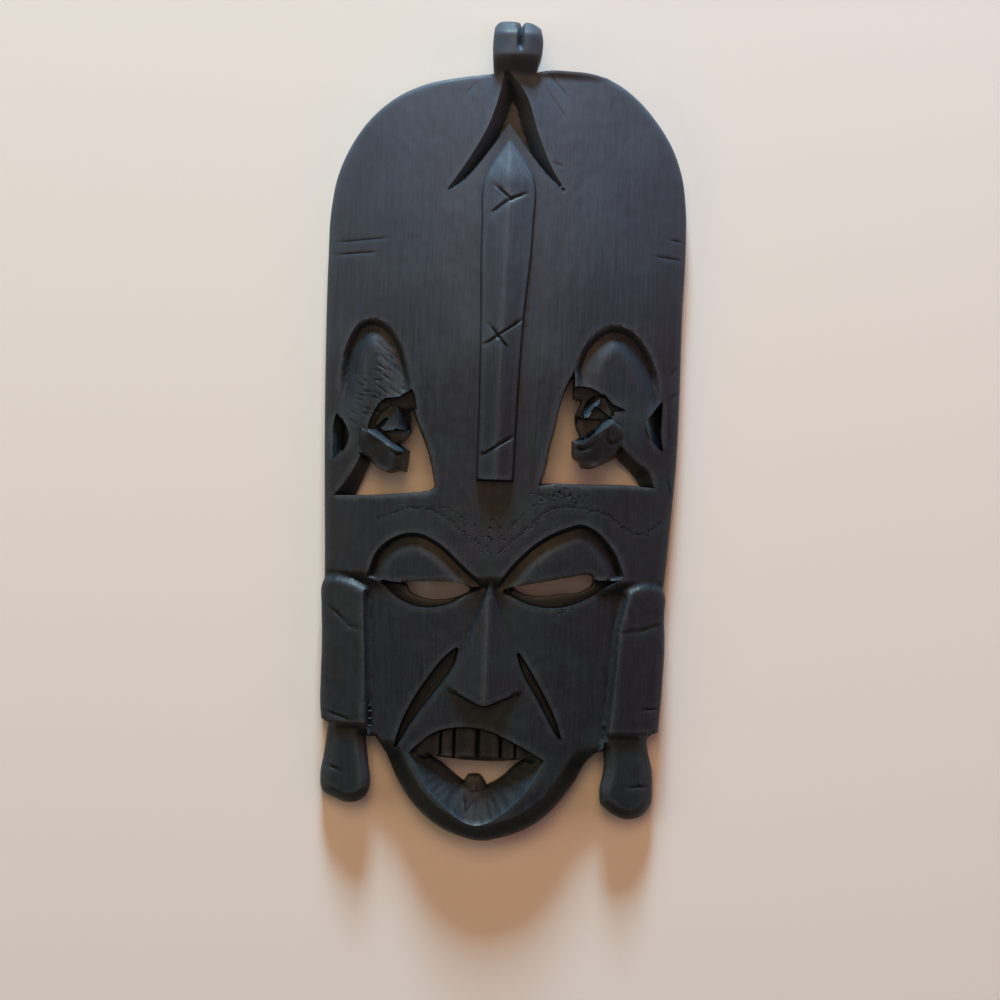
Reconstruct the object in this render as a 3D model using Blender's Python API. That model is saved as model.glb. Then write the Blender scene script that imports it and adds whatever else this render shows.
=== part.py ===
# Carved wooden mask: one piece of blackened wood, lying on its back.
# +Z is the front, +Y runs from the chin up to the knob, +X is to the right as one faces it.
# The origin is under the middle of the mask, on the surface that its back rests on.

import math

import bpy
import bmesh
import numpy as np
from mathutils import Vector
from mathutils.geometry import delaunay_2d_cdt

# Overall sizes, in metres
LENGTH = 0.460            # chin to the top of the knob
WIDTH = 0.202             # across the forehead board
ARCH_RISE = 0.026         # how much the middle stands in front of the long edges
EDGE_THICKNESS = 0.011    # wood at the long edges
WALL = 0.017              # wood left in front of the hollow, along the middle
RIM_WIDTH = 0.010         # flat strip along each long edge that lies on the table

# Depths and heights of the carving, in metres
TOP_FALL = 0.012          # how much the board curves back towards the knob
CHIN_FALL = 0.009         # how much it curves back towards the chin
BAR_HEIGHT = 0.008        # raised bar down the forehead
VEE_DEPTH = 0.011         # upturned V cut into the board below the knob
VEE_RISE = 0.004          # shoulders of the V above the board
KNOB_RISE = 0.004         # knob in front of the board
CLEFT_DEPTH = 0.004       # cleft between the knob's two lobes
NICHE_DEPTH = 0.0045      # arched niche around the head of each side figure
FIGURE_DEPTH = 0.010      # knife cuts of the side figures, at their deepest
BROW_DEPTH = 0.005        # lids behind the forehead, under the brows
EYE_DEPTH = 0.011         # bottom of the eyes behind the forehead
CHEEK_DEPTH = 0.004       # cheeks behind the forehead
NOSE_HEIGHT = 0.009       # tip of the nose in front of the cheeks
FOLD_DEPTH = 0.007        # crescent folds beside the nose
TEETH_DEPTH = 0.006       # upper teeth behind the lip
GAP_DEPTH = 0.003         # notches between the teeth
BOWL_DEPTH = 0.011        # inside of the lower lip, at the mouth's edge
CHIN_DROP = 0.006         # chin's outer edge behind the lip
EAR_RISE = 0.002          # ears in front of the board above them
GROOVE_DEPTH = 0.0025     # groove between each ear and cheek
PENDANT_DROP = 0.0025     # pendants behind the ears
PENDANT_EDGE = 0.0035     # pendants' edges behind their middle
CUT_DEPTH = 0.0012        # crosses and slashes cut into the bar
EDGE_ROUND = 0.0012       # worn edge all round

# How far the slopes beside the carved lines run, in layout millimetres
VEE_SLOPE = 7.0
VEE_WALL = 1.6
BAR_SLOPE = 1.2
CLEFT_SLOPE = 2.2
NICHE_SLOPE = 3.5
PLANE_SLOPE = 1.4
LID_SLOPE = 2.4
LID_BULGE = 11.0
EYE_SLOPE = 1.4
NOSE_SLOPE = 1.6
FOLD_SLOPE = 1.2
MOUTH_SLOPE = 1.2
EAR_SLOPE = 2.5
GROOVE_SLOPE = 2.0
CUT_SLOPE = 1.2
CHIN_SLOPE = 9.0
PENDANT_SLOPE = 5.0
EDGE_SLOPE = 1.6

# Spacing of the surface points, in layout millimetres
LINE_STEP = 4.2
OPENING_STEP = 3.2
FIELD_STEP = 8.4
DETAIL_STEP = 4.8
BACK_STEP = 14.0


# The carving is laid out on a 202 by 460 mm front view and spread over WIDTH and LENGTH.

def smooth(points, step=LINE_STEP):
    """Points on a smooth curve through the given ones, about a step apart."""
    p = np.array(points, float)
    gap = np.hypot(p[1:, 0] - p[:-1, 0], p[1:, 1] - p[:-1, 1])
    t = np.concatenate(([0.0], np.cumsum(gap)))
    slope = np.gradient(p, t, axis=0)
    out = []
    for i, length in enumerate(gap):
        n = max(1, round(length / step))
        s = (np.arange(n) / n)[:, None]
        out.append((1 + 2 * s) * (1 - s) ** 2 * p[i] + s * (1 - s) ** 2 * length * slope[i]
                   + s * s * (3 - 2 * s) * p[i + 1] + s * s * (s - 1) * length * slope[i + 1])
    out.append(p[-1:])
    return np.vstack(out)


def loop(*strokes, step=LINE_STEP):
    """One closed outline made of smooth strokes that meet at corners."""
    parts = []
    for i, stroke in enumerate(strokes):
        following = strokes[(i + 1) % len(strokes)]
        parts.append(smooth(list(stroke) + [following[0]], step)[:-1])
    return np.vstack(parts)


def shrink(points, share):
    """Each point with its partner on the back, drawn in towards the middle."""
    p = np.array(points, float)
    mid = p.mean(axis=0)
    return [tuple(q) + tuple(mid + (q - mid) * share) for q in p]


OUTLINE = loop(
    [(14.2, 226.5), (11, 228.6), (4.6, 229.3)],
    [(3.2, 227.2)],
    [(2.4, 229.7), (-3, 230), (-10, 229)],
    [(-11.8, 226.5), (-12.4, 217), (-12.1, 209)],
    [(-11.2, 201), (-30, 198.5), (-50, 194), (-64, 187.5), (-80, 174), (-90, 159.5), (-97, 143),
     (-100.5, 122), (-101, 95), (-100.6, 50), (-99.3, 0), (-97.8, -38), (-96.3, -72)],
    [(-95.9, -85.5), (-97.4, -90), (-97, -100), (-96, -118), (-95.8, -140), (-95.4, -158)],
    [(-94.6, -164.5)],
    [(-91, -166.5), (-91.5, -175), (-92.6, -185), (-94.2, -197), (-92.6, -206), (-86, -209.3),
     (-79, -211.5), (-71, -210), (-67, -206), (-65.8, -200), (-67.2, -190), (-68.7, -180)],
    [(-69.6, -173.2)],
    [(-63.2, -173.2), (-57.5, -182), (-50, -197.5), (-40, -211.5), (-28, -221.5), (-14, -227.8),
     (-2, -230), (12, -227), (25, -221.5), (38, -210.8), (48, -197.5), (57, -182), (61, -178)],
    [(65.3, -176), (66.2, -182), (66, -190), (64.3, -199)],
    [(64.8, -206.5), (70, -211), (80, -215.3), (88, -213.5), (93.3, -207.5), (94.2, -197),
     (93.3, -186), (90.7, -176), (90.2, -169.5)],
    [(92.8, -166.6)],
    [(96, -165.2), (96.6, -152), (97.5, -135), (97.8, -115), (96.8, -98), (97.2, -90)],
    [(95.9, -84.5), (97.3, -66), (99, -38), (100.3, -15), (100.8, 20), (100.5, 70), (101, 112),
     (100.2, 131), (97.3, 149), (91, 165), (81, 179.5), (71, 190), (60, 198)],
    [(52.5, 201.6), (44, 203.4), (30, 204.2), (18, 203.8)],
    [(12.3, 202.4), (13.3, 206.5), (15.2, 213), (15.6, 219)],
)

# Openings: front edge, then the edge where the slanting cut comes out on the back
LEFT_WINDOW = loop(
    [(-92.5, -38.5, -81, -37.9), (-70, -37.8, -68, -37.2), (-50, -36, -50, -35.4)],
    [(-38, -34.6, -39, -34), (-34.6, -32, -35.8, -31.5), (-35.2, -28, -36.4, -28),
     (-38, -15, -39.3, -15), (-41.5, -5, -43, -5), (-46, 5, -47.2, 5)],
    [(-48.2, 11.5, -49, 11)],
    [(-51.8, 11, -51.2, 10.4), (-51, 5, -50.6, 5), (-50.2, -1, -49.8, -1), (-53, -5, -52.4, -5.4)],
    [(-57, -8, -56, -8.6)],
    [(-51, -12, -50.2, -12), (-51.4, -17, -50.6, -17)],
    [(-52.2, -23, -51.4, -24), (-56, -22.3, -56, -23.6), (-60, -23.5, -60, -24.8),
     (-66, -22.3, -65.6, -23.4), (-70, -19.6, -69.4, -21)],
    [(-73, -16, -72.4, -18.4)],
    [(-78, -14.6, -73, -19), (-80, -20, -74.2, -22.5), (-84, -27, -76.5, -28.5),
     (-88, -33, -79, -34)],
    step=OPENING_STEP,
)
RIGHT_WINDOW = loop(
    [(88.5, -27.6, 80.5, -26.9), (80, -27.1, 76, -26.5), (70, -27, 69, -26.4),
     (50, -27.5, 50, -26.9), (30, -27.8, 31, -27)],
    [(22.5, -29, 24.5, -27.4), (25, -20, 26.5, -20), (27.5, -7, 28.7, -7), (30, 4, 31, 4),
     (32.2, 15, 33, 15), (35, 25, 35.6, 24.5)],
    [(40.3, 36.5, 40, 33), (40.9, 31, 40.4, 29)],
    [(41, 26, 40.2, 25), (41, 21.4, 40.6, 20.4)],
    [(45.2, 20.6, 44.6, 19.6)],
    [(45, 17, 44.2, 17), (42.8, 13, 42, 13), (42.4, 9, 41.6, 9), (43.6, 4, 42.8, 4)],
    [(46, 0, 44.8, -0.6)],
    [(41.2, -3.2, 40.4, -3.2), (41.4, -8, 40.6, -8), (42.2, -12.2, 41.4, -12.6)],
    [(45.4, -14.2, 45, -15.2)],
    [(46.4, -16.6, 46, -17.8), (51, -17, 51, -18.2), (57, -14.6, 57.4, -15.8),
     (62, -11.5, 62.8, -12.9)],
    [(65.4, -9, 66.2, -11)],
    [(68.4, -4.4, 68, -13), (72, -8, 71.5, -16), (78, -13.6, 75.5, -20), (84, -18, 78.5, -23.5)],
    step=OPENING_STEP,
)
LEFT_SLIT = loop(
    shrink([(-50.4, -85.4), (-32, -84.4), (-15.5, -86), (-12.8, -87.8), (-20, -93), (-27, -94.8),
            (-40, -94.3), (-47.5, -91.6)], 0.95),
)
RIGHT_SLIT = loop(
    shrink([(9.5, -86.2), (28, -82.4), (38, -80.2), (56.6, -80), (56.4, -82.6), (49, -87.6),
            (38, -89.2), (27, -91), (15, -89.6)], 0.95),
)
MOUTH_HOLE = loop(
    [(21.5, -182.6, 20.5, -183.4), (10, -184, 10, -185), (-10, -184.4, -10, -185.4),
     (-24, -183.4, -23, -184.4)],
    [(-34, -181.8, -32, -183.4), (-26.2, -188, -25, -187.4), (-18.7, -194.2, -18, -193)],
    [(-13, -198.2, -12.6, -196.8)],
    [(-10.8, -194, -10.4, -193), (-4.2, -193.8, -4, -192.8)],
    [(0.4, -200, 0.6, -198.6), (6, -197, 5.6, -195.8), (11, -193, 10.4, -192), (17.2, -186.6, 16.4, -186)],
    step=OPENING_STEP,
)
OPENINGS = [LEFT_WINDOW, RIGHT_WINDOW, LEFT_SLIT, RIGHT_SLIT, MOUTH_HOLE]

# Bounded areas of the carving
VEE_LEFT = [(-5, 205), (-7.5, 190), (-13, 172), (-22, 155), (-38, 130.5)]
VEE_RIGHT = [(35, 132), (24, 148), (15, 168), (7, 190), (-5, 205)]
VEE_INNER = [
    [(-38, 130.5), (-25, 140.5), (-12.7, 156), (-1.4, 172.5)],
    [(-1.4, 172.5), (11.7, 155), (22, 143), (35, 132)],
]
VEE = loop(VEE_LEFT[:-1], VEE_INNER[0][:-1], VEE_INNER[1][:-1], VEE_RIGHT[:-1])
BAR = loop(
    [(-1, 164), (-8, 154), (-14, 143), (-15, 115), (-13.5, 60), (-12.6, 0)],
    [(-12.4, -27.5)],
    [(8.8, -27.5), (9.2, 0), (11, 60), (14.4, 115), (13.5, 143), (6, 156)],
)
LEFT_NICHE = loop(
    [(-91.5, 12), (-91.5, 30), (-88.5, 47), (-82, 58.5), (-74, 61.5), (-66, 59), (-58, 49),
     (-52.5, 34), (-50, 20)],
    [(-50, 9)],
    [(-84, -8)],
)
RIGHT_NICHE = loop(
    [(91.5, 20), (87, 38), (80, 52), (70, 61), (61, 62.5), (51, 57), (44.5, 49)],
    [(40.5, 37.5)],
    [(42, 8)],
    [(78, 2)],
)
LEFT_BROW = [(-72, -83), (-66, -68), (-58, -61), (-50, -58), (-42, -58), (-33, -62), (-15, -77),
             (-2, -87.5)]
RIGHT_BROW = [(-0.5, -87.5), (12, -71), (20, -63), (30, -56), (40, -51.5), (48, -49.5), (55, -52), (62, -58),
              (68, -66), (73, -78)]
LEFT_LID = loop(
    LEFT_BROW[:-1],
    [(-2, -87.5)],
    [(-8, -90), (-20, -89.5), (-45, -88.5), (-66, -86)],
)
RIGHT_LID = loop(
    RIGHT_BROW[:-1],
    [(73, -78)],
    [(64, -83.5), (38, -84), (18, -88.5), (6, -90)],
)
LEFT_EYE = loop(
    [(-69, -84.4), (-50.4, -85.8), (-32, -84.9), (-15.5, -86.4)],
    [(-5, -87)],
    [(-15, -91.5), (-22, -96), (-32, -99.4), (-40, -100), (-48, -98), (-55, -94), (-62, -88)],
)
RIGHT_EYE = loop(
    [(71, -80.2), (57, -80.6), (38, -80.8), (28, -82.9), (9.5, -86.7)],
    [(1, -87.6)],
    [(10, -91.4), (18, -95.2), (26, -97.2), (36, -97.4), (46, -95), (55, -90.4), (63, -85)],
)
NOSE = loop(
    [(-1, -80)],
    [(-5, -90), (-12, -110), (-18, -127), (-24, -144)],
    [(-14, -150), (-4, -154), (8, -150)],
    [(18, -145), (13, -125), (5.6, -104)],
)
LEFT_FOLD = loop(
    [(-17.5, -119), (-26, -126), (-35, -138), (-43, -151), (-49, -164)],
    [(-55, -187), (-45, -168), (-37, -156), (-29, -145), (-21, -132)],
)
RIGHT_FOLD = loop(
    [(12.5, -118), (21, -130), (29.5, -144), (37, -158)],
    [(43, -176), (35, -164), (27, -150), (18, -135)],
)
MOUTH = loop(
    [(-44, -181), (-38, -175), (-30, -169), (-20, -166), (-10, -165.5), (0, -167), (10, -171), (20, -176)],
    [(32, -183), (26.8, -195), (19.4, -204.7), (10.2, -213.5), (2, -219), (-4.1, -220.8), (-10.3, -219.9),
     (-17.8, -215.7), (-26, -208.7), (-33.5, -201.2), (-40.7, -189.7)],
)
LEFT_EAR = loop(
    [(-99, -84.5), (-90, -84), (-80, -86.5)],
    [(-71.5, -90), (-70.5, -110), (-69.5, -125), (-68.5, -145), (-67.6, -172)],
    [(-66.6, -176)],
    [(-64, -216)],
    [(-99, -216)],
)
RIGHT_EAR = loop(
    [(99, -86), (91, -82), (84, -81.5)],
    [(75, -86), (72.5, -96), (70, -110), (69, -125), (67.5, -150), (65, -174)],
    [(64, -179)],
    [(62, -219)],
    [(99, -219)],
)

# Lines of grooves and ridges
LEFT_EAR_LINE = smooth([(-71.5, -90), (-70.5, -110), (-69.5, -125), (-68.5, -145), (-67.6, -172)])
RIGHT_EAR_LINE = smooth([(75, -86), (72.5, -96), (70, -110), (69, -125), (67.5, -150), (65, -174)])
CLEFT = np.array([(2.8, 232.0), (2.8, 216.0)])
BAR_CUTS = [
    [(-8, 137.5), (2, 129)], [(10, 133.5), (1, 130), (-10, 121.5)],
    [(-8.5, 60), (3, 46)], [(10, 63), (-11, 48)],
    [(8, -2), (-11, -14)],
]
TOOTH_GAPS = [(-26, 1.6), (-19, 1.6), (-5.7, 2.6), (7.2, 1.8), (15.5, 1.6)]

# Flat knife cuts. The first three points of each carry its height beside the board, in tenths of
# FIGURE_DEPTH, and the rest are the corners of its border.
PLANES = [
    # left figure: face, cheek, nose, sleeve, back of the hand, fingers, two sides of the notch in the edge
    [(-74, 0, -6), (-65, 16.5, -6), (-50, 21.5, -9), (-53.5, 20), (-57, 17.5), (-65, 16.5), (-68, 14),
     (-70.5, 10), (-73, 4.5), (-74, 0), (-66, -5), (-53.5, -11), (-57, -8), (-53, -5), (-50, -1),
     (-51.4, 8), (-52, 11), (-47.8, 12), (-48.4, 17), (-50, 21.5)],
    [(-71, 3.5, -5), (-60, 13, -5), (-58, 0.5, -2.5), (-62, -2), (-66.5, -0.5), (-71, 3.5), (-67.5, 8.5),
     (-64, 12), (-60, 13), (-58.6, 12), (-58, 0.5)],
    [(-58.6, 12.5, -3), (-57.6, 0, -2.5), (-52, 4, -10), (-52, 11), (-58.6, 12.5), (-57.6, 0), (-52, -1),
     (-51.4, 4)],
    [(-69.5, 0.6, -8), (-63.2, 6, -7), (-63.4, 0.6, -6), (-66, 1.2), (-69.5, 0.6), (-65, 5.4),
     (-63.2, 6)],
    [(-64, -1.8, -7), (-50.4, -1.2, -9), (-60, -8.5, -8), (-64, -1.8), (-57, -0.8), (-50.4, -1.2),
     (-53, -5), (-57, -8), (-60, -8.5)],
    [(-70, -0.6, -4), (-54.4, -11, -4), (-60.5, -10.6, 1.5), (-74.5, -0.4), (-70, -0.6), (-65.5, -3.4),
     (-60, -8), (-54.4, -11), (-54, -12.9), (-60.5, -10.6), (-66, -7.8), (-70, -5), (-74, -3)],
    [(-74, -3, 1.5), (-60.5, -10.6, 1.5), (-70, -19.5, -1), (-77.5, -1), (-74, -3), (-66, -7.8),
     (-60.5, -10.6), (-54, -12.9), (-59.6, -15), (-59, -24), (-66, -22), (-70, -19.5), (-73, -16),
     (-78, -14.5)],
    [(-59.6, -15, 0.8), (-59, -24, -1), (-50.6, -17, -3), (-59.6, -15), (-54, -12.6), (-50, -12),
     (-50.6, -17), (-51.4, -23.6), (-55, -23), (-59, -24)],
    [(-94, 2, -2), (-93.4, -9, -2), (-89.5, -3, -9), (-92.4, 7.5), (-90, 3.4), (-88.4, 1.5), (-88, -8),
     (-90.4, -14), (-94.4, -19), (-93.4, -9), (-94, -2), (-93.4, 4)],
    [(-88.4, 2, -8), (-88, -8, -8), (-85.4, -4, -2), (-90, 3.6), (-87.6, 1.6), (-85.4, -4), (-86, -9),
     (-89, -13.5), (-88.6, -10), (-88, -8), (-88.4, 1.5)],
    # right figure: face, two sides of the nose, mouth, chin, sleeve, hand, notch in the edge
    [(40.6, 26.6, -6), (56, 22.8, -5), (43, 3, -10), (40.3, 26.6), (45, 27.2), (50, 26.6), (54, 24.6),
     (56, 22.8), (58, 23.2), (60, 20.4), (63, 17.8), (69.5, 15.4), (64, 14.6), (62, 12), (62.3, 10),
     (56, 6.5), (46, 0.3), (43.8, 0.6), (42, 8), (42.8, 13), (45, 17), (45.2, 20.6), (41, 21.4)],
    [(54.5, 23, -4), (46.6, 13, -5.5), (52, 16, -0.5), (54.5, 23), (56.2, 21), (55.4, 18.4), (53, 16.8),
     (51.4, 14), (48.6, 9.8), (47, 10), (46.6, 13), (47.4, 17), (49.5, 20.4), (52, 22.2)],
    [(56.2, 22.5, -2.5), (63.4, 12, -2.5), (54, 16.6, -4), (56.2, 22.5), (58, 21.6), (60.4, 17),
     (63.4, 12), (61.4, 11.4), (57, 14.8), (54, 16.6), (55.6, 18.6)],
    [(52.3, 16.2, -7), (61, 11, -6), (51, 10.2, -7.5), (52.3, 16.2), (56.6, 14.4), (61, 11), (54, 10.2),
     (50.4, 10)],
    [(55, 10, -10), (48, 0.4, -10), (43, 9, -12), (43, 10), (47, 9.4), (55, 9.6), (56.6, 7.4), (52, 4),
     (48, 0.4), (44.4, 0.6), (42.6, 6)],
    [(56.4, 7, -4), (49.6, 0.4, -4), (62.4, 7.2, 2), (60.4, 9.8), (62.2, 10.4), (63.2, 8.6), (62.4, 7.2),
     (57, 3.4), (51, -0.8), (46.4, -4.6), (41, -3), (44.4, -1.2), (49.6, 0.4), (53, 3.4), (56.4, 7)],
    [(62.4, 7.2, 2), (46.4, -4.6, 2), (57, -14.4, -1), (63.2, 8.6), (68, 5.5), (69, 0), (68, -4.5),
     (65.5, -9), (62, -11.5), (57, -14.4), (51, -16.8), (46.6, -16.6), (45.6, -14.4), (42.3, -12.4),
     (41, -8), (41.2, -3.2), (46.4, -4.6), (51, -0.8), (57, 3.4), (62.4, 7.2)],
    [(83.4, 8, 0), (85, 1, -0.5), (90, 8, -8), (90.6, 20.6), (88, 17), (85, 12.8), (82.8, 9.4), (82.6, 5),
     (84.6, 0.6), (88, -3.4), (92, -6.3), (91, -2), (90.4, 3), (90.6, 10)],
    # wedge-shaped tooth in the lower lip
    [(-11.6, -202.4, -12.5), (-4.3, -202.2, -13), (-10.8, -213.5, -9)],
]


def ramp(value, width):
    """0 below zero, 1 above the width, smooth between."""
    t = np.clip(value / width, 0, 1)
    return t * t * (3 - 2 * t)


def distance(points, line, closed=False):
    """Distance from each point to a line of straight pieces."""
    a = line[:, :2] if closed else line[:-1, :2]
    b = np.roll(line[:, :2], -1, axis=0) if closed else line[1:, :2]
    best = np.full(len(points), 1e9)
    for p, q in zip(a, b):
        run = q - p
        t = np.clip(((points - p) @ run) / max(run @ run, 1e-12), 0, 1)
        best = np.minimum(best, np.hypot(*(points - p - t[:, None] * run).T))
    return best


def within(points, line):
    """True for each point inside a closed line."""
    inside = np.zeros(len(points), bool)
    x, y = points[:, 0], points[:, 1]
    for (ax, ay), (bx, by) in zip(line[:, :2], np.roll(line[:, :2], -1, axis=0)):
        if ay != by:
            inside ^= ((ay > y) != (by > y)) & (x < (bx - ax) * (y - ay) / (by - ay) + ax)
    return inside


def depth_in(points, line):
    """Distance to a closed line, positive inside and negative outside."""
    return np.where(within(points, line), 1, -1) * distance(points, line, closed=True)


HOLLOW_HALF = 101 * (1 - 2 * RIM_WIDTH / WIDTH)     # layout distance from the middle to the flat rim


def arch(x, y):
    """Front of the plain board before it is carved: highest down the middle, lower towards both ends."""
    fall = TOP_FALL * np.clip((y - 10) / 200, 0, 1) ** 2 + CHIN_FALL * np.clip((-70 - y) / 160, 0, 1) ** 1.2
    return EDGE_THICKNESS + (ARCH_RISE - fall) * (1 - np.clip(x / 101, -1, 1) ** 2)


def notch(points, line, half_width, depth):
    """Depth of a V-shaped groove along a line."""
    return depth * np.clip(1 - distance(points, line) / half_width, 0, 1)


def border_of(plane):
    """Border of a flat cut; one that lists only three points is a triangle."""
    return np.array([p[:2] for p in plane[3:] or plane], float)


def carve_planes(points, level):
    """The level with the flat cuts of the side figures and the tooth."""
    for plane in PLANES:
        corner = np.array(plane[:3], float)
        slope = np.linalg.solve(np.column_stack([corner[:, :2], np.ones(3)]), 0.1 * FIGURE_DEPTH * corner[:, 2])
        share = ramp(depth_in(points, border_of(plane)) + PLANE_SLOPE, PLANE_SLOPE)
        level = level + (points @ slope[:2] + slope[2] - level) * share
    return level


def niche_depth(points, niche, foot):
    """Depth of an arched niche, which rises again to the figure's domed head."""
    d = depth_in(points, niche)
    return NICHE_DEPTH * (1 - 0.92 * ramp(d - 2.5, 13)) * ramp(points[:, 1] - foot, 34) * ramp(d, NICHE_SLOPE)


def front(points):
    """Height of the carved front over the table at each layout point."""
    x, y = points[:, 0], points[:, 1]
    level = np.zeros(len(points))

    # forehead: the upturned V with its long outer flanks, the knob and the bar
    outer = np.minimum(distance(points, smooth(VEE_LEFT)), distance(points, smooth(VEE_RIGHT)))
    inner = np.minimum(*[distance(points, smooth(side)) for side in VEE_INNER])
    flank = np.clip(np.minimum(outer / VEE_SLOPE, inner / VEE_WALL), 0, 1) * within(points, VEE)
    level += VEE_RISE * np.exp(np.minimum(depth_in(points, VEE), 0) / 9) * ramp(y - 145, 50) * (1 - flank)
    level -= VEE_DEPTH * flank
    knob = ramp(y - 199, 13)
    side = np.clip(np.abs(x - 1.5) / 13.8, 0, 1)
    level += (KNOB_RISE + 0.6 * TOP_FALL) * knob - 0.004 * knob * side ** 3 - 0.005 * ramp(y - 222, 8)
    level -= notch(points, CLEFT, CLEFT_SLOPE, CLEFT_DEPTH)
    middle = np.interp(y, [-28, 60, 115, 164], [-1.8, -1.3, -0.3, -1.0])
    half = np.interp(y, [-28, 60, 115, 143, 156, 164], [10.6, 12.2, 14.7, 13.8, 7, 0.6])
    profile = 0.55 + 0.45 * np.clip((1 - np.abs(x - middle) / half) / 0.95, 0, 1)
    bar_top = BAR_HEIGHT * profile * (1 - 0.75 * ramp(y - 138, 26))
    level += (bar_top - level) * ramp(depth_in(points, BAR), BAR_SLOPE)
    for cut in BAR_CUTS:
        level -= notch(points, np.array(cut, float), CUT_SLOPE, CUT_DEPTH)

    # heads of the two side figures
    for niche, foot in ((LEFT_NICHE, 2), (RIGHT_NICHE, 10)):
        level = np.where(within(points, niche), -niche_depth(points, niche, foot), level)

    # cheeks, lids and eyes
    ears = [depth_in(points, LEFT_EAR), depth_in(points, RIGHT_EAR)]
    face = ramp(-80 - y, 10) * ramp(-np.maximum(*ears), GROOVE_SLOPE)
    level -= CHEEK_DEPTH * face
    for lid, brow in ((LEFT_LID, LEFT_BROW), (RIGHT_LID, RIGHT_BROW)):
        bulge = 0.6 * ramp(distance(points, smooth(brow)), LID_BULGE)
        level += (BROW_DEPTH * (bulge - 1) - level) * ramp(depth_in(points, lid), LID_SLOPE)
    for eye in (LEFT_EYE, RIGHT_EYE):
        level += (-EYE_DEPTH - level) * ramp(depth_in(points, eye), EYE_SLOPE)

    # nose and the folds beside it
    flank = np.interp(y, [-154, -144, -125, -104, -88, -80], [25, 24, 18, 11, 6, 3])
    crest = (1 - np.clip(np.abs(x + 3) / flank, 0, 1)) ** 1.3
    bridge = CHEEK_DEPTH + (NOSE_HEIGHT - CHEEK_DEPTH) * np.clip((-88 - y) / 60, 0, 1)
    level += bridge * crest * ramp(depth_in(points, NOSE), NOSE_SLOPE) * face
    for fold in (LEFT_FOLD, RIGHT_FOLD):
        level -= FOLD_DEPTH * ramp(depth_in(points, fold), FOLD_SLOPE)

    # mouth: teeth under the upper lip, a slanting bowl between the lower lip and the hole
    d = depth_in(points, MOUTH)
    teeth = -TEETH_DEPTH - 0.5 * CHEEK_DEPTH + 0 * x
    for place, half_width in TOOTH_GAPS:
        teeth -= GAP_DEPTH * np.clip(1 - np.abs(x - place) / half_width, 0, 1)
    inward = np.clip(d, 0.01, None)
    inward = inward / (inward + distance(points, MOUTH_HOLE, closed=True))
    bowl = -CHEEK_DEPTH - BOWL_DEPTH * (0.04 + 0.96 * inward)
    level += (teeth + (bowl - teeth) * ramp(-182.5 - y, 3) - level) * ramp(d, MOUTH_SLOPE)
    level = carve_planes(points, level)
    chin = depth_in(points, OUTLINE)
    jaw = ramp(-174 - y, 12) * ramp(64 - np.abs(x), 3)
    level -= CHIN_DROP * jaw * (1 - np.clip(chin / CHIN_SLOPE, 0, 1))

    # ears and pendants
    for d, line in zip(ears, (LEFT_EAR_LINE, RIGHT_EAR_LINE)):
        level += EAR_RISE * ramp(d, EAR_SLOPE)
        level -= notch(points, line, GROOVE_SLOPE, GROOVE_DEPTH)
        pendant = ramp(d, 0.5) * ramp(-166 - y, 3)
        level -= pendant * (PENDANT_DROP + PENDANT_EDGE * (1 - np.clip(chin / PENDANT_SLOPE, 0, 1)))

    level -= EDGE_ROUND * (1 - np.clip(chin / EDGE_SLOPE, 0, 1))
    return arch(x, y) + level


def back(points):
    """Height of the hollowed back over the table; it follows the board and thins behind the mouth."""
    x, y = points[:, 0], points[:, 1]
    rise = arch(0 * x, y) - WALL - 0.003 * ramp(-150 - y, 40)
    return rise * np.clip(1 - (x / HOLLOW_HALF) ** 2, 0, 1)


def beside(line, inset):
    """The line drawn beside a closed one, inside it or outside, where there is room for it."""
    after, before = np.roll(line, -1, axis=0), np.roll(line, 1, axis=0)
    run = after - before
    turn = np.sum(line[:, 0] * after[:, 1] - after[:, 0] * line[:, 1])
    side = np.sign(turn) * np.stack([-run[:, 1], run[:, 0]], axis=1)
    moved = line + inset * side / np.maximum(np.hypot(*side.T), 1e-9)[:, None]
    crowded = distance(moved, line, closed=True) < 0.85 * abs(inset)
    moved[crowded] = np.nan
    return np.vstack([moved, moved[:1]])


def grid(step, offset=0.37):
    """Staggered rows of points over the layout."""
    rows = np.arange(-229.5 + offset, 230, step * math.sqrt(0.75))
    return np.array([(x + (step / 2 if i % 2 else 0), y) for i, y in enumerate(rows)
                     for x in np.arange(-100.5 + offset, 101, step)])


def on_board(points, loops, room):
    """True for each point on the wood, with room to the outline and the openings."""
    ok = within(points, loops[0])
    for one in loops[1:]:
        ok &= ~within(points, one)
    for one in loops:
        ok &= distance(points, one, closed=True) > room
    return ok


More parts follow.
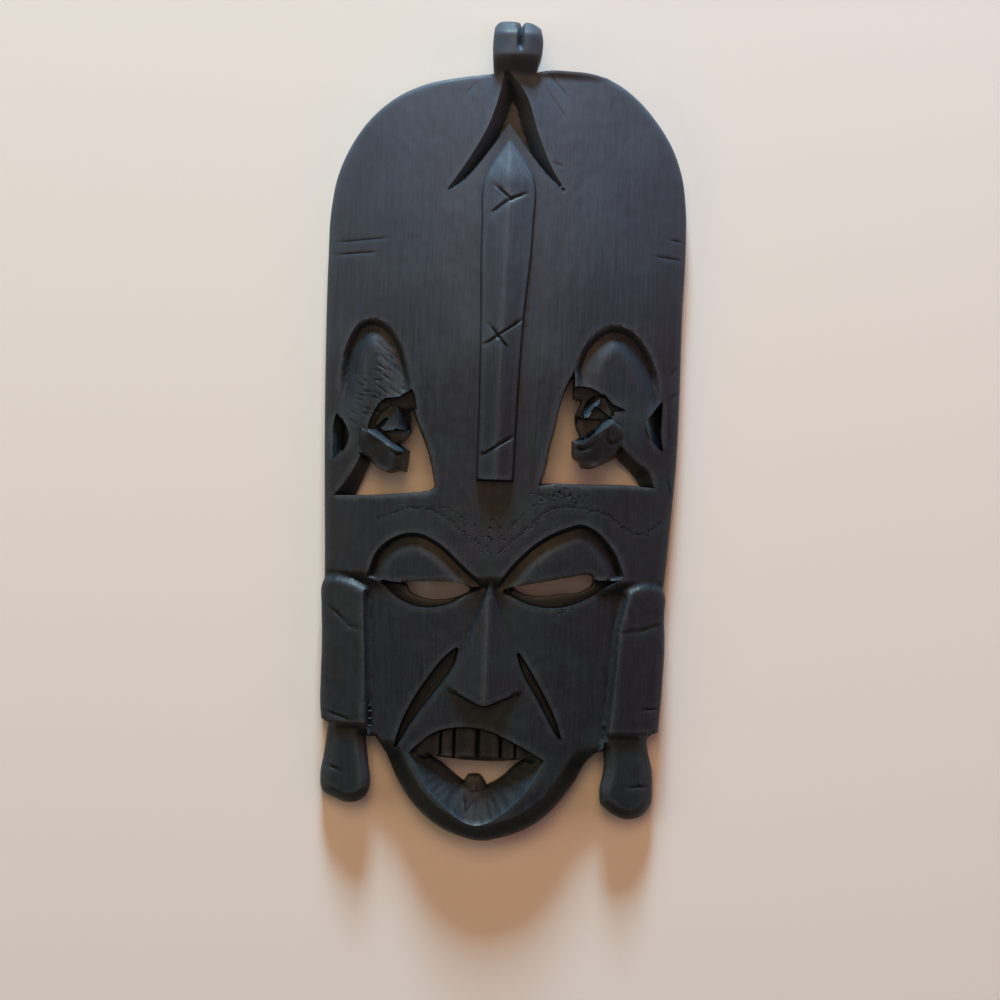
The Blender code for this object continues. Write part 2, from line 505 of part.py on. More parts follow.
def triangulate(loops, lines, seeds, room):
    """Triangles over the board between its outline and openings, with the lines as edges."""
    spots = np.vstack(loops)
    edges = []
    rims = []
    start = 0
    for one in loops:
        rims.append(list(range(start, start + len(one))))
        edges += list(zip(rims[-1], rims[-1][1:] + rims[-1][:1]))
        start += len(one)
    for line in lines:
        ok = on_board(np.nan_to_num(line, nan=1e3), loops, room)
        last = None
        for p, usable in zip(line, ok):
            if not usable:
                last = None
                continue
            gap = np.hypot(*(spots[start:] - p).T)
            if len(gap) and gap.min() < 0.8:
                here = start + int(np.argmin(gap))
            else:
                here = len(spots)
                spots = np.vstack([spots, p])
            if last is not None and last != here:
                edges.append((last, here))
            last = here
    for points, gap in seeds:
        points = points[on_board(points, loops, gap)]
        near = np.array([np.min(np.hypot(*(spots - p).T)) for p in points])
        spots = np.vstack([spots, points[near > gap]])
    found, _, faces, sources, _, _ = delaunay_2d_cdt([Vector(p) for p in spots], edges, [], 0, 1e-4)
    found = np.array([tuple(v) for v in found])
    faces = np.array(faces)
    faces = faces[on_board(found[faces].mean(axis=1), loops, 0)]
    place = {old: new for new, olds in enumerate(sources) for old in olds}
    return found, faces, [[place[i] for i in rim] for rim in rims]


def to_metres(spots, heights):
    """Layout points spread over the real width and length, centred on the origin."""
    low, high = OUTLINE.min(axis=0), OUTLINE.max(axis=0)
    share = (spots - (low + high) / 2) / (high - low)
    return np.column_stack([share[:, 0] * WIDTH, share[:, 1] * LENGTH, heights])


def crease_lines():
    """Lines that the front surface follows: both sides of each step in the carving."""
    lines = []
    for area, inset in ((VEE, VEE_WALL), (BAR, BAR_SLOPE),
                        (LEFT_NICHE, NICHE_SLOPE), (RIGHT_NICHE, NICHE_SLOPE), (LEFT_LID, LID_SLOPE), (RIGHT_LID, LID_SLOPE), (LEFT_EYE, EYE_SLOPE),
                        (RIGHT_EYE, EYE_SLOPE), (NOSE, NOSE_SLOPE), (LEFT_FOLD, FOLD_SLOPE),
                        (RIGHT_FOLD, FOLD_SLOPE), (MOUTH, MOUTH_SLOPE), (LEFT_EAR, EAR_SLOPE),
                        (RIGHT_EAR, EAR_SLOPE)):
        lines += [np.vstack([area, area[:1]]), beside(area, inset)]
    for plane in PLANES:
        border = loop(*[[p] for p in border_of(plane)])
        lines += [np.vstack([border, border[:1]]), beside(border, -PLANE_SLOPE)]
    lines += [beside(LEFT_EAR, -GROOVE_SLOPE), beside(RIGHT_EAR, -GROOVE_SLOPE)]
    lines += [smooth([(x, 150), (x, 60), (x, -26)], 9) for x in (-4.5, 1.5)]
    lines += [smooth(line) for line in ([(-3, -92), (-3, -120), (-4, -152)], [(-10, 201), (12, 202)],
                                        [(-10, 210), (12, 210)])]
    lines += [smooth([(x, 227), (x, 218), (x, 207)])
              for x in (-8, CLEFT[0, 0] - CLEFT_SLOPE, CLEFT[0, 0], CLEFT[0, 0] + CLEFT_SLOPE, 10.5)]
    for place, half_width in TOOTH_GAPS:
        top = np.interp(place, [-38, -30, -20, -10, 0, 10, 20], [-177, -171, -168, -168, -169, -173, -178])
        lines += [smooth([(place + side * half_width, top), (place + side * half_width, -183)], 6)
                  for side in (-1, 0, 1)]
    for cut in BAR_CUTS:
        cut = np.array(cut, float)
        across = CUT_SLOPE * np.array([(cut[0] - cut[-1])[1], (cut[-1] - cut[0])[0]])
        across /= np.hypot(*(cut[0] - cut[-1]))
        lines += [smooth(cut + side * across) for side in (-1, 0, 1)]
    rim = beside(OUTLINE, EDGE_SLOPE)
    chin = beside(OUTLINE, CHIN_SLOPE)
    chin[(chin[:, 1] > -172) | (np.abs(chin[:, 0]) > 62)] = np.nan
    pendants = beside(OUTLINE, PENDANT_SLOPE)
    pendants[(pendants[:, 1] > -168) | (np.abs(pendants[:, 0]) < 62)] = np.nan
    return lines + [rim, chin, pendants]


def build_mask():
    detail = grid(DETAIL_STEP)
    x, y = detail[:, 0], detail[:, 1]
    figures = (np.abs(y - 15) < 50) & (np.abs(x) > 36)
    features = (y < -50) & (y > -215) & (np.abs(x) < 60)
    top = (y > 150) & (np.abs(x) < 20)
    detail = detail[figures | features | top]
    seeds = [(detail, 0.6 * DETAIL_STEP), (grid(FIELD_STEP), 0.7 * FIELD_STEP)]
    front_spots, front_faces, front_rims = triangulate(
        [OUTLINE] + [one[:, :2] for one in OPENINGS], crease_lines(), seeds, 0.9)
    rims = [smooth([(side * HOLLOW_HALF, -212), (side * HOLLOW_HALF, 170)], 9) for side in (-1, 1)]
    back_spots, back_faces, back_rims = triangulate(
        [OUTLINE] + [one[:, 2:] for one in OPENINGS], rims, [(grid(BACK_STEP), 0.5 * BACK_STEP)], 0.4)

    mesh = bpy.data.meshes.new("mask")
    bm = bmesh.new()
    a = [bm.verts.new(p) for p in to_metres(front_spots, front(front_spots))]
    b = [bm.verts.new(p) for p in to_metres(back_spots, back(back_spots))]
    for face in front_faces:
        bm.faces.new([a[i] for i in face])
    for face in back_faces:
        bm.faces.new([b[i] for i in reversed(face)])
    for upper, lower in zip(front_rims, back_rims):
        for i in range(len(upper)):
            j = (i + 1) % len(upper)
            bm.faces.new([a[upper[i]], b[lower[i]], b[lower[j]]])
            bm.faces.new([a[upper[i]], b[lower[j]], a[upper[j]]])
    bmesh.ops.recalc_face_normals(bm, faces=bm.faces)
    bm.to_mesh(mesh)
    bm.free()
    return mesh


def blackened_wood():
    material = bpy.data.materials.new("blackened wood")
    material.use_nodes = True
    shader = material.node_tree.nodes["Principled BSDF"]
    shader.inputs["Base Color"].default_value = (0.030, 0.032, 0.035, 1)
    shader.inputs["Roughness"].default_value = 0.5
    shader.inputs["Metallic"].default_value = 0.0
    return material


def main():
    for old in list(bpy.data.objects):
        bpy.data.objects.remove(old, do_unlink=True)
    collection = bpy.data.collections.new("Carved mask")
    bpy.context.scene.collection.children.link(collection)
    mask = bpy.data.objects.new("mask", build_mask())
    mask.data.materials.append(blackened_wood())
    mask.data.shade_smooth()
    mask.data.set_sharp_from_angle(angle=math.radians(30))
    collection.objects.link(mask)


main()
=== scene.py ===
import math
import random

import bpy
import numpy as np
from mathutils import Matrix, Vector, noise
from mathutils.geometry import delaunay_2d_cdt
from mathutils.kdtree import KDTree


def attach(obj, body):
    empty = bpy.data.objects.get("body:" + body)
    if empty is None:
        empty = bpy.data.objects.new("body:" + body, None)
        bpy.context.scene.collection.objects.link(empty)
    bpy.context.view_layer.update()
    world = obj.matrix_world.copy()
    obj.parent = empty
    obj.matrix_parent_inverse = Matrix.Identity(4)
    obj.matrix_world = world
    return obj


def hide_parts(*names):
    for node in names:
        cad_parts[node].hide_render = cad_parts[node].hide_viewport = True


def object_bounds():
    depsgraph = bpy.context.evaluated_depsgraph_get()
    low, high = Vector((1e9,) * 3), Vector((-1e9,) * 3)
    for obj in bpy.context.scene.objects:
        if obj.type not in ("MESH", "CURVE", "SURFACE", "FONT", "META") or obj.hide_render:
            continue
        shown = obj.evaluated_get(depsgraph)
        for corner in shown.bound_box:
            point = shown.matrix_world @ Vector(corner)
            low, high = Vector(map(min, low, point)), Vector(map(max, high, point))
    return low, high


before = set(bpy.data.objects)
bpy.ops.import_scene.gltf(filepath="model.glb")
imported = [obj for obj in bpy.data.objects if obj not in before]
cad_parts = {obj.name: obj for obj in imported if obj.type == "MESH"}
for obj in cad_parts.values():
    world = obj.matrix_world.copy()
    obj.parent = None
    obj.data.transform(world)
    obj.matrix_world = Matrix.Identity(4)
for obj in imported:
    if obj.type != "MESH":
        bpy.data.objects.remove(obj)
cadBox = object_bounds()        # the carving is fitted into this box
print("frame loaded:", [round(v * 1000, 1) for v in cadBox[1] - cadBox[0]], "mm")

random.seed(7)

# the mask is laid out in millimetres: x to the right, y up to the knob, (0, 0) in the middle
maskCut = {
    "archRise": 26, "edgeThickness": 11, "wall": 17, "rimWidth": 10,     # the plain board
    "topFall": 12, "chinFall": 9,                                        # it curves back at both ends
    "veeDepth": 11, "veeRise": 4, "barHeight": 8, "knobRise": 4, "cleftDepth": 4,
    "nicheDepth": 4.5,                                                   # around the two side figures
    "browDepth": 5, "eyeDepth": 11, "cheekDepth": 4, "noseHeight": 9, "foldDepth": 7,
    "teethDepth": 6, "gapDepth": 3, "bowlDepth": 11, "chinDrop": 6,
    "earRise": 2, "grooveDepth": 2.5, "pendantDrop": 2.5, "pendantEdge": 3.5, "edgeRound": 1.2,
    # how far the slopes beside the carved lines run
    "veeSlope": 7, "veeWall": 1.6, "barSlope": 1.2, "cleftSlope": 2.2, "nicheSlope": 3.5, "planeSlope": 0.6,
    "lidSlope": 2.4, "lidBulge": 11, "eyeSlope": 1.4, "noseSlope": 1.6, "foldSlope": 1.2, "mouthSlope": 1.2,
    "chinSlope": 9, "earSlope": 2.5, "grooveSlope": 2, "pendantSlope": 5, "edgeSlope": 1.6,
    "frontStep": 1.25, "lineStep": 1.4, "backStep": 2.8,                 # mesh spacing, smaller is finer
    "planing": 0.10, "waver": 0.30, "chop": 0.14, "chisel": 0.28, "gouge": 0.9,      # tool marks, hand work
    "dotDepth": 0.55, "dotSize": 0.68, "furDepth": 0.38, "furWidth": 0.6,
}


def smoothLine(points, step=None):      # a curve through the points
    p = np.array(points, float)
    step = step or maskCut["lineStep"]
    gap = np.hypot(p[1:, 0] - p[:-1, 0], p[1:, 1] - p[:-1, 1])
    slope = np.gradient(p, np.concatenate(([0.0], np.cumsum(gap))), axis=0)
    out = []
    for i, length in enumerate(gap):
        n = max(1, round(length / step))
        s = (np.arange(n) / n)[:, None]
        out.append((1 + 2 * s) * (1 - s) ** 2 * p[i] + s * (1 - s) ** 2 * length * slope[i]
                   + s * s * (3 - 2 * s) * p[i + 1] + s * s * (s - 1) * length * slope[i + 1])
    return np.vstack(out + [p[-1:]])


def closedLine(*strokes):       # smooth strokes that meet at corners
    parts = []
    for i, stroke in enumerate(strokes):
        nextStart = strokes[(i + 1) % len(strokes)][0]
        parts.append(smoothLine(list(stroke) + [nextStart])[:-1])
    return np.vstack(parts)


def withBack(points, share):    # each point with its place on the back, where the hole is smaller
    p = np.array(points, float)
    mid = p.mean(axis=0)
    return [tuple(q) + tuple(mid + (q - mid) * share) for q in p]


outline = closedLine(
    [(14.2, 226.5), (11, 228.6), (4.6, 229.3)],
    [(3.2, 227.2)],
    [(2.4, 229.7), (-3, 230), (-10, 229)],
    [(-11.8, 226.5), (-12.4, 217), (-12.1, 209)],
    [(-11.2, 201), (-30, 198.5), (-50, 194), (-64, 187.5), (-80, 174), (-90, 159.5), (-97, 143),
     (-100.5, 122), (-101, 95), (-100.59, 50), (-99.3, 0), (-97.8, -38), (-96.3, -72)],
    [(-95.9, -85.5), (-97.4, -90), (-97, -100), (-96, -118), (-95.8, -140), (-95.4, -158)],
    [(-94.6, -164.5)],
    [(-91, -166.5), (-91.5, -175), (-92.6, -185), (-94.2, -197), (-92.6, -206), (-86, -209.3),
     (-79, -211.5), (-71, -210), (-67, -206), (-65.8, -200), (-67.2, -190), (-68.7, -180)],
    [(-69.6, -173.2)],
    [(-63.2, -173.2), (-57.5, -182), (-50, -197.5), (-40, -211.5), (-28, -221.5), (-14, -227.8),
     (-2, -230), (12, -227), (25, -221.5), (38, -210.8), (48, -197.5), (57, -182), (61, -178)],
    [(65.3, -176), (66.2, -182), (66, -190), (64.3, -199)],
    [(64.8, -206.5), (70, -211), (80, -215.3), (88, -213.5), (93.3, -207.5), (94.2, -197),
     (93.3, -186), (90.7, -176), (90.2, -169.5)],
    [(92.8, -166.6)],
    [(96, -165.2), (96.6, -152), (97.5, -135), (97.8, -115), (96.8, -98), (97.2, -90)],
    [(95.9, -84.5), (97.3, -66), (99, -38), (100.3, -15), (100.8, 20), (100.5, 70), (101, 112),
     (100.2, 131), (97.3, 149), (91, 165), (81, 179.5), (71, 190), (60, 198)],
    [(52.5, 201.6), (44, 203.4), (30, 204.2), (18, 203.8)],
    [(12.3, 202.4), (13.3, 206.5), (15.2, 213), (15.6, 219)],
)

# openings: x, y on the front, then x, y where the knife came out on the back
leftWindow = closedLine(
    [(-92.5, -38.5, -81, -37.9), (-70, -37.8, -68, -37.2), (-50, -36, -50, -35.4)],
    [(-38, -34.6, -39, -34), (-34.6, -32, -35.8, -31.5), (-35.2, -28, -36.4, -28),
     (-38, -15, -39.3, -15), (-41.5, -5, -43, -5), (-46, 5, -47.2, 5)],
    [(-48.2, 11.5, -49, 11)],
    [(-51.8, 11, -51.2, 10.4), (-51, 5, -50.6, 5), (-50.2, -1, -49.8, -1), (-53, -5, -52.4, -5.4)],
    [(-57, -8, -56, -8.6)],
    [(-51, -12, -50.2, -12), (-51.4, -17, -50.6, -17)],
    [(-52.2, -23, -51.4, -24), (-56, -22.3, -56, -23.6), (-60, -23.5, -60, -24.8),
     (-66, -22.3, -65.6, -23.4), (-70, -19.6, -69.4, -21)],
    [(-73, -16, -72.4, -18.4)],
    [(-78, -14.6, -73, -19), (-80, -20, -74.2, -22.5), (-84, -27, -76.5, -28.5),
     (-88, -33, -79, -34)],
)
rightWindow = closedLine(
    [(88.5, -27.6, 80.5, -26.9), (80, -27.1, 76, -26.5), (70, -27, 69, -26.4),
     (50, -27.5, 50, -26.9), (30, -27.8, 31, -27)],
    [(22.5, -29, 24.5, -27.4), (25, -20, 26.5, -20), (27.5, -7, 28.7, -7), (30, 4, 31, 4),
     (32.2, 15, 33, 15), (35, 25, 35.6, 24.5)],
    [(40.3, 36.5, 40, 33), (40.9, 31, 40.4, 29)],
    [(41, 26, 40.2, 25), (41, 21.4, 40.6, 20.4)],
    [(45.2, 20.6, 44.6, 19.6)],
    [(45, 17, 44.2, 17), (42.8, 13, 42, 13), (42.4, 9, 41.6, 9), (43.6, 4, 42.8, 4)],
    [(46, 0, 44.8, -0.6)],
    [(41.2, -3.2, 40.4, -3.2), (41.4, -8, 40.6, -8), (42.2, -12.2, 41.4, -12.6)],
    [(45.4, -14.2, 45, -15.2)],
    [(46.4, -16.6, 46, -17.8), (51, -17, 51, -18.2), (57, -14.6, 57.4, -15.8),
     (62, -11.5, 62.8, -12.9)],
    [(65.4, -9, 66.2, -11)],
    [(68.4, -4.4, 68, -13), (72, -8, 71.5, -16), (78, -13.6, 75.5, -20), (84, -18, 78.5, -23.5)],
)
leftSlit = closedLine(
    withBack([(-50.4, -85.4), (-32, -84.4), (-15.5, -86), (-12.8, -87.8), (-20, -93), (-27, -94.8),
              (-40, -94.3), (-47.5, -91.6)], 0.95))
rightSlit = closedLine(
    withBack([(9.5, -86.2), (28, -82.4), (38, -80.2), (56.6, -80), (56.4, -82.6), (49, -87.6),
              (38, -89.2), (27, -91), (15, -89.6)], 0.95))
mouthHole = closedLine(
    [(21.5, -182.6, 20.5, -183.4), (10, -184, 10, -185), (-10, -184.4, -10, -185.4),
     (-24, -183.4, -23, -184.4)],
    [(-34, -181.8, -32, -183.4), (-26.2, -188, -25, -187.4), (-18.7, -194.2, -18, -193)],
    [(-13, -198.2, -12.6, -196.8)],
    [(-10.8, -194, -10.4, -193), (-4.2, -193.8, -4, -192.8)],
    [(0.4, -200, 0.6, -198.6), (6, -197, 5.6, -195.8), (11, -193, 10.4, -192),
     (17.2, -186.6, 16.4, -186)],
)
openings = [leftWindow, rightWindow, leftSlit, rightSlit, mouthHole]

# carved areas
veeLeft = [(-5, 205), (-7.5, 190), (-13, 172), (-22, 155), (-38, 130.5)]
veeRight = [(35, 132), (24, 148), (15, 168), (7, 190), (-5, 205)]
veeInner = [[(-38, 130.5), (-25, 140.5), (-12.7, 156), (-1.4, 172.5)],
            [(-1.4, 172.5), (11.7, 155), (22, 143), (35, 132)]]
vee = closedLine(veeLeft[:-1], veeInner[0][:-1], veeInner[1][:-1], veeRight[:-1])
bar = closedLine(
    [(-1, 164), (-8, 154), (-14, 143), (-15, 115), (-13.5, 60), (-12.6, 0)],
    [(-12.4, -27.5)],
    [(8.8, -27.5), (9.2, 0), (11, 60), (14.4, 115), (13.5, 143), (6, 156)])
leftNiche = closedLine(
    [(-91.5, 12), (-91.5, 30), (-88.5, 47), (-82, 58.5), (-74, 61.5), (-66, 59), (-58, 49),
     (-52.5, 34), (-50, 20)],
    [(-50, 9)],
    [(-84, -8)])
rightNiche = closedLine(
    [(91.5, 20), (87, 38), (80, 52), (70, 61), (61, 62.5), (51, 57), (44.5, 49)],
    [(40.5, 37.5)],
    [(42, 8)],
    [(78, 2)])
leftBrow = [(-72, -83), (-66, -68), (-58, -61), (-50, -58), (-42, -58), (-33, -62), (-15, -77),
            (-2, -87.5)]
rightBrow = [(-0.5, -87.5), (12, -71), (20, -63), (30, -56), (40, -51.5), (48, -49.5), (55, -52),
             (62, -58), (68, -66), (73, -78)]
leftLid = closedLine(
    leftBrow[:-1],
    [(-2, -87.5)],
    [(-8, -90), (-20, -89.5), (-45, -88.5), (-66, -86)])
rightLid = closedLine(
    rightBrow[:-1],
    [(73, -78)],
    [(64, -83.5), (38, -84), (18, -88.5), (6, -90)])
leftEye = closedLine(
    [(-69, -84.4), (-50.4, -85.8), (-32, -84.9), (-15.5, -86.4)],
    [(-5, -87)],
    [(-15, -91.5), (-22, -96), (-32, -99.4), (-40, -100), (-48, -98), (-55, -94), (-62, -88)])
rightEye = closedLine(
    [(71, -80.2), (57, -80.6), (38, -80.8), (28, -82.9), (9.5, -86.7)],
    [(1, -87.6)],
    [(10, -91.4), (18, -95.2), (26, -97.2), (36, -97.4), (46, -95), (55, -90.4), (63, -85)])
nose = closedLine(
    [(-1, -80)],
    [(-5, -90), (-12, -110), (-18, -127), (-24, -144)],
    [(-14, -150), (-4, -154), (8, -150)],
    [(18, -145), (13, -125), (5.6, -104)])
leftFold = closedLine(
    [(-17.5, -119), (-26, -126), (-35, -138), (-43, -151), (-49, -164)],
    [(-55, -187), (-45, -168), (-37, -156), (-29, -145), (-21, -132)])
rightFold = closedLine(
    [(12.5, -118), (21, -130), (29.5, -144), (37, -158)],
    [(43, -176), (35, -164), (27, -150), (18, -135)])
mouth = closedLine(
    [(-44, -181), (-38, -175), (-30, -169), (-20, -166), (-10, -165.5), (0, -167), (10, -171), (20, -176)],
    [(32, -183), (26.8, -195), (19.4, -204.7), (10.2, -213.5), (2, -219), (-4.1, -220.8),
     (-10.3, -219.9), (-17.8, -215.7), (-26, -208.7), (-33.5, -201.2), (-40.7, -189.7)])
leftEarEdge = [(-71.5, -90), (-70.5, -110), (-69.5, -125), (-68.5, -145), (-67.6, -172)]
rightEarEdge = [(75, -86), (72.5, -96), (70, -110), (69, -125), (67.5, -150), (65, -174)]
leftEar = closedLine(
    [(-99, -84.5), (-90, -84), (-80, -86.5)],
    leftEarEdge,
    [(-66.6, -176)],
    [(-64, -216)],
    [(-99, -216)])
rightEar = closedLine(
    [(99, -86), (91, -82), (84, -81.5)],
    rightEarEdge,
    [(64, -179)],
    [(62, -219)],
    [(99, -219)])
toothGaps = [(-26.5, 0.9), (-19, 1.0), (-5.7, 1.5), (7.2, 1.1), (15.5, 0.9)]

# flat knife cuts of the side figures and the mouth: the first three points carry heights over the board,
# and the rest are the corners of the cut's border
leftPlanes = [
    [(-74, 0, -6), (-65, 16.5, -6), (-50, 21.5, -9), (-53.5, 20), (-57, 17.5), (-65, 16.5), (-68, 14),
     (-70.5, 10), (-73, 4.5), (-74, 0), (-66, -5), (-53.5, -11), (-57, -8), (-53, -5), (-50, -1),
     (-51.4, 8), (-52, 11), (-47.8, 12), (-48.4, 17), (-50, 21.5)],
    [(-71, 3.5, -5), (-60, 13, -5), (-58, 0.5, -2.5), (-62, -2), (-66.5, -0.5), (-71, 3.5), (-67.5, 8.5),
     (-64, 12), (-60, 13), (-58.6, 12), (-58, 0.5)],
    [(-58.6, 12.5, -3), (-57.6, 0, -2.5), (-52, 4, -10), (-52, 11), (-58.6, 12.5), (-57.6, 0), (-52, -1),
     (-51.4, 4)],
    [(-69.5, 0.6, -8), (-63.2, 6, -7), (-63.4, 0.6, -6), (-66, 1.2), (-69.5, 0.6), (-65, 5.4),
     (-63.2, 6)],
    [(-64, -1.8, -7), (-50.4, -1.2, -9), (-60, -8.5, -8), (-64, -1.8), (-57, -0.8), (-50.4, -1.2),
     (-53, -5), (-57, -8), (-60, -8.5)],
    [(-70, -0.6, -4), (-54.4, -11, -4), (-60.5, -10.6, 1.5), (-74.5, -0.4), (-70, -0.6), (-65.5, -3.4),
     (-60, -8), (-54.4, -11), (-54, -12.9), (-60.5, -10.6), (-66, -7.8), (-70, -5), (-74, -3)],
    [(-74, -3, 1.5), (-60.5, -10.6, 1.5), (-70, -19.5, -1), (-77.5, -1), (-74, -3), (-66, -7.8),
     (-60.5, -10.6), (-54, -12.9), (-59.6, -15), (-59, -24), (-66, -22), (-70, -19.5), (-73, -16),
     (-78, -14.5)],
    [(-59.6, -15, 0.8), (-59, -24, -1), (-50.6, -17, -3), (-59.6, -15), (-54, -12.6), (-50, -12),
     (-50.6, -17), (-51.4, -23.6), (-55, -23), (-59, -24)],
    [(-94, 2, -2), (-93.4, -9, -2), (-89.5, -3, -9), (-92.4, 7.5), (-90, 3.4), (-88.4, 1.5), (-88, -8),
     (-90.4, -14), (-94.4, -19), (-93.4, -9), (-94, -2), (-93.4, 4)],
    [(-88.4, 2, -8), (-88, -8, -8), (-85.4, -4, -2), (-90, 3.6), (-87.6, 1.6), (-85.4, -4), (-86, -9),
     (-89, -13.5), (-88.6, -10), (-88, -8), (-88.4, 1.5)],
]
rightPlanes = [
    [(40.6, 26.6, -6), (56, 22.8, -5), (43, 3, -10), (40.3, 26.6), (45, 27.2), (50, 26.6), (54, 24.6),
     (56, 22.8), (58, 23.2), (60, 20.4), (63, 17.8), (69.5, 15.4), (64, 14.6), (62, 12), (62.3, 10),
     (56, 6.5), (46, 0.3), (43.8, 0.6), (42, 8), (42.8, 13), (45, 17), (45.2, 20.6), (41, 21.4)],
    [(54.5, 23, -4), (46.6, 13, -5.5), (52, 16, -0.5), (54.5, 23), (56.2, 21), (55.4, 18.4), (53, 16.8),
     (51.4, 14), (48.6, 9.8), (47, 10), (46.6, 13), (47.4, 17), (49.5, 20.4), (52, 22.2)],
    [(56.2, 22.5, -2.5), (63.4, 12, -2.5), (54, 16.6, -4), (56.2, 22.5), (58, 21.6), (60.4, 17),
     (63.4, 12), (61.4, 11.4), (57, 14.8), (54, 16.6), (55.6, 18.6)],
    [(52.3, 16.2, -7), (61, 11, -6), (51, 10.2, -7.5), (52.3, 16.2), (56.6, 14.4), (61, 11), (54, 10.2),
     (50.4, 10)],
    [(55, 10, -10), (48, 0.4, -10), (43, 9, -12), (43, 10), (47, 9.4), (55, 9.6), (56.6, 7.4), (52, 4),
     (48, 0.4), (44.4, 0.6), (42.6, 6)],
    [(56.4, 7, -4), (49.6, 0.4, -4), (62.4, 7.2, 2), (60.4, 9.8), (62.2, 10.4), (63.2, 8.6), (62.4, 7.2),
     (57, 3.4), (51, -0.8), (46.4, -4.6), (41, -3), (44.4, -1.2), (49.6, 0.4), (53, 3.4), (56.4, 7)],
    [(62.4, 7.2, 2), (46.4, -4.6, 2), (57, -14.4, -1), (63.2, 8.6), (68, 5.5), (69, 0), (68, -4.5),
     (65.5, -9), (62, -11.5), (57, -14.4), (51, -16.8), (46.6, -16.6), (45.6, -14.4), (42.3, -12.4),
     (41, -8), (41.2, -3.2), (46.4, -4.6), (51, -0.8), (57, 3.4), (62.4, 7.2)],
    [(83.4, 8, 0), (85, 1, -0.5), (90, 8, -8), (90.6, 20.6), (88, 17), (85, 12.8), (82.8, 9.4), (82.6, 5),
     (84.6, 0.6), (88, -3.4), (92, -6.3), (91, -2), (90.4, 3), (90.6, 10)],
]
mouthPlanes = [[(-11.6, -202.4, -12.5), (-4.3, -202.2, -13), (-10.8, -213.5, -9)]]      # a wedge-shaped tooth

cleft = [(2.8, 232.0), (2.8, 216.0)]        # between the knob's two lobes
# V cuts: line, half width, depth
cuts = [
    (leftEarEdge, maskCut["grooveSlope"], maskCut["grooveDepth"]),
    (rightEarEdge, maskCut["grooveSlope"], maskCut["grooveDepth"]),
    # crosses and a slash on the bar
    ([(-8, 137.5), (2, 129)], 1.3, 1.7), ([(10, 133.5), (1, 130), (-10, 121.5)], 1.3, 1.7),
    ([(-8.5, 60), (3, 46)], 1.2, 1.5), ([(10, 63), (-11, 48)], 1.2, 1.5),
    ([(8, -2), (-11, -14)], 1.1, 1.2),
    # scratches on the board
    ([(-21, 196), (-27, 188)], 0.7, 0.35), ([(15, 199), (31, 176)], 0.7, 0.35),
    ([(19, 203), (33, 187)], 0.7, 0.3), ([(24, 152), (30, 150)], 0.9, 0.7),
    ([(-97, 104), (-66, 107)], 0.8, 0.35), ([(-99, 97), (-72, 99)], 0.8, 0.4),
    ([(90, 113), (100, 111.5)], 0.8, 0.5), ([(82, 103), (100, 101.5)], 0.8, 0.4),
    ([(95, 36), (99, 41)], 0.7, 0.5), ([(95, 22), (100, 27)], 0.7, 0.5),
    ([(95.5, -20), (99, -35)], 0.7, 0.6),
    ([(23, -71), (25.5, -81)], 0.8, 0.5),       # scar on the right lid
    # folds of the ears
    ([(-93, -101), (-88, -105), (-80, -112), (-74, -113)], 1.2, 0.7),
    ([(71, -110), (85, -108), (96, -104)], 1.2, 0.6),
    ([(-93, -160), (-77, -165)], 0.7, 0.5), ([(86, -153), (96, -152)], 0.7, 0.5),
    # fingers, sleeves and the right figure's jaw
    ([(-60.6, -12.4), (-55, -15.6)], 1.1, 1.6), ([(-78.4, -1.5), (-79.2, -14)], 1.0, 0.8),
    ([(42.6, -6.6), (44.6, -7.8), (47, -7.7), (50.8, -6)], 1.2, 1.5), ([(64, 8.8), (68, 5.6)], 0.9, 0.7),
    ([(60.4, 4), (60, -1), (61.6, -3.6), (64.6, -3.6), (66.6, -1)], 1.0, 0.8),
    # pendants
    ([(-92.5, -190), (-82, -194)], 0.8, 0.7), ([(80, -197), (93, -196)], 0.8, 0.6),
]


def ramp(value, width):
    t = np.clip(value / width, 0, 1)
    return t * t * (3 - 2 * t)


def gapTo(spots, line, closed=False, reach=45.0):      # distance to a line, up to the reach
    a = line[:, :2] if closed else line[:-1, :2]
    b = np.roll(line[:, :2], -1, axis=0) if closed else line[1:, :2]
    low, high = line[:, :2].min(axis=0) - reach, line[:, :2].max(axis=0) + reach
    near = np.nonzero(((spots > low) & (spots < high)).all(axis=1))[0]
    p = spots[near]
    best = np.full(len(p), float(reach))
    for start, end in zip(a, b):
        run = end - start
        t = np.clip(((p - start) @ run) / max(run @ run, 1e-12), 0, 1)
        best = np.minimum(best, np.hypot(p[:, 0] - start[0] - t * run[0], p[:, 1] - start[1] - t * run[1]))
    out = np.full(len(spots), float(reach))
    out[near] = best
    return out


def within(spots, line):
    inside = np.zeros(len(spots), bool)
    low, high = line[:, :2].min(axis=0), line[:, :2].max(axis=0)
    near = np.nonzero(((spots > low) & (spots < high)).all(axis=1))[0]
    x, y = spots[near, 0], spots[near, 1]
    hit = np.zeros(len(near), bool)
    for (ax, ay), (bx, by) in zip(line[:, :2], np.roll(line[:, :2], -1, axis=0)):
        if ay != by:
            hit ^= ((ay > y) != (by > y)) & (x < (bx - ax) * (y - ay) / (by - ay) + ax)
    inside[near] = hit
    return inside


def depthIn(spots, line, reach=45.0):       # positive inside a closed line
    return np.where(within(spots, line), 1, -1) * gapTo(spots, line, True, reach)


def notch(spots, line, halfWidth, depth, fade=0.0):     # a V cut, shallower at its ends
    line = np.array(line, float)
    cut = depth * np.clip(1 - gapTo(spots, line, reach=halfWidth + 1) / halfWidth, 0, 1)
    if fade:
        ends = np.minimum(np.hypot(*(spots - line[0]).T), np.hypot(*(spots - line[-1]).T))
        cut *= 0.25 + 0.75 * ramp(ends, fade)
    return cut


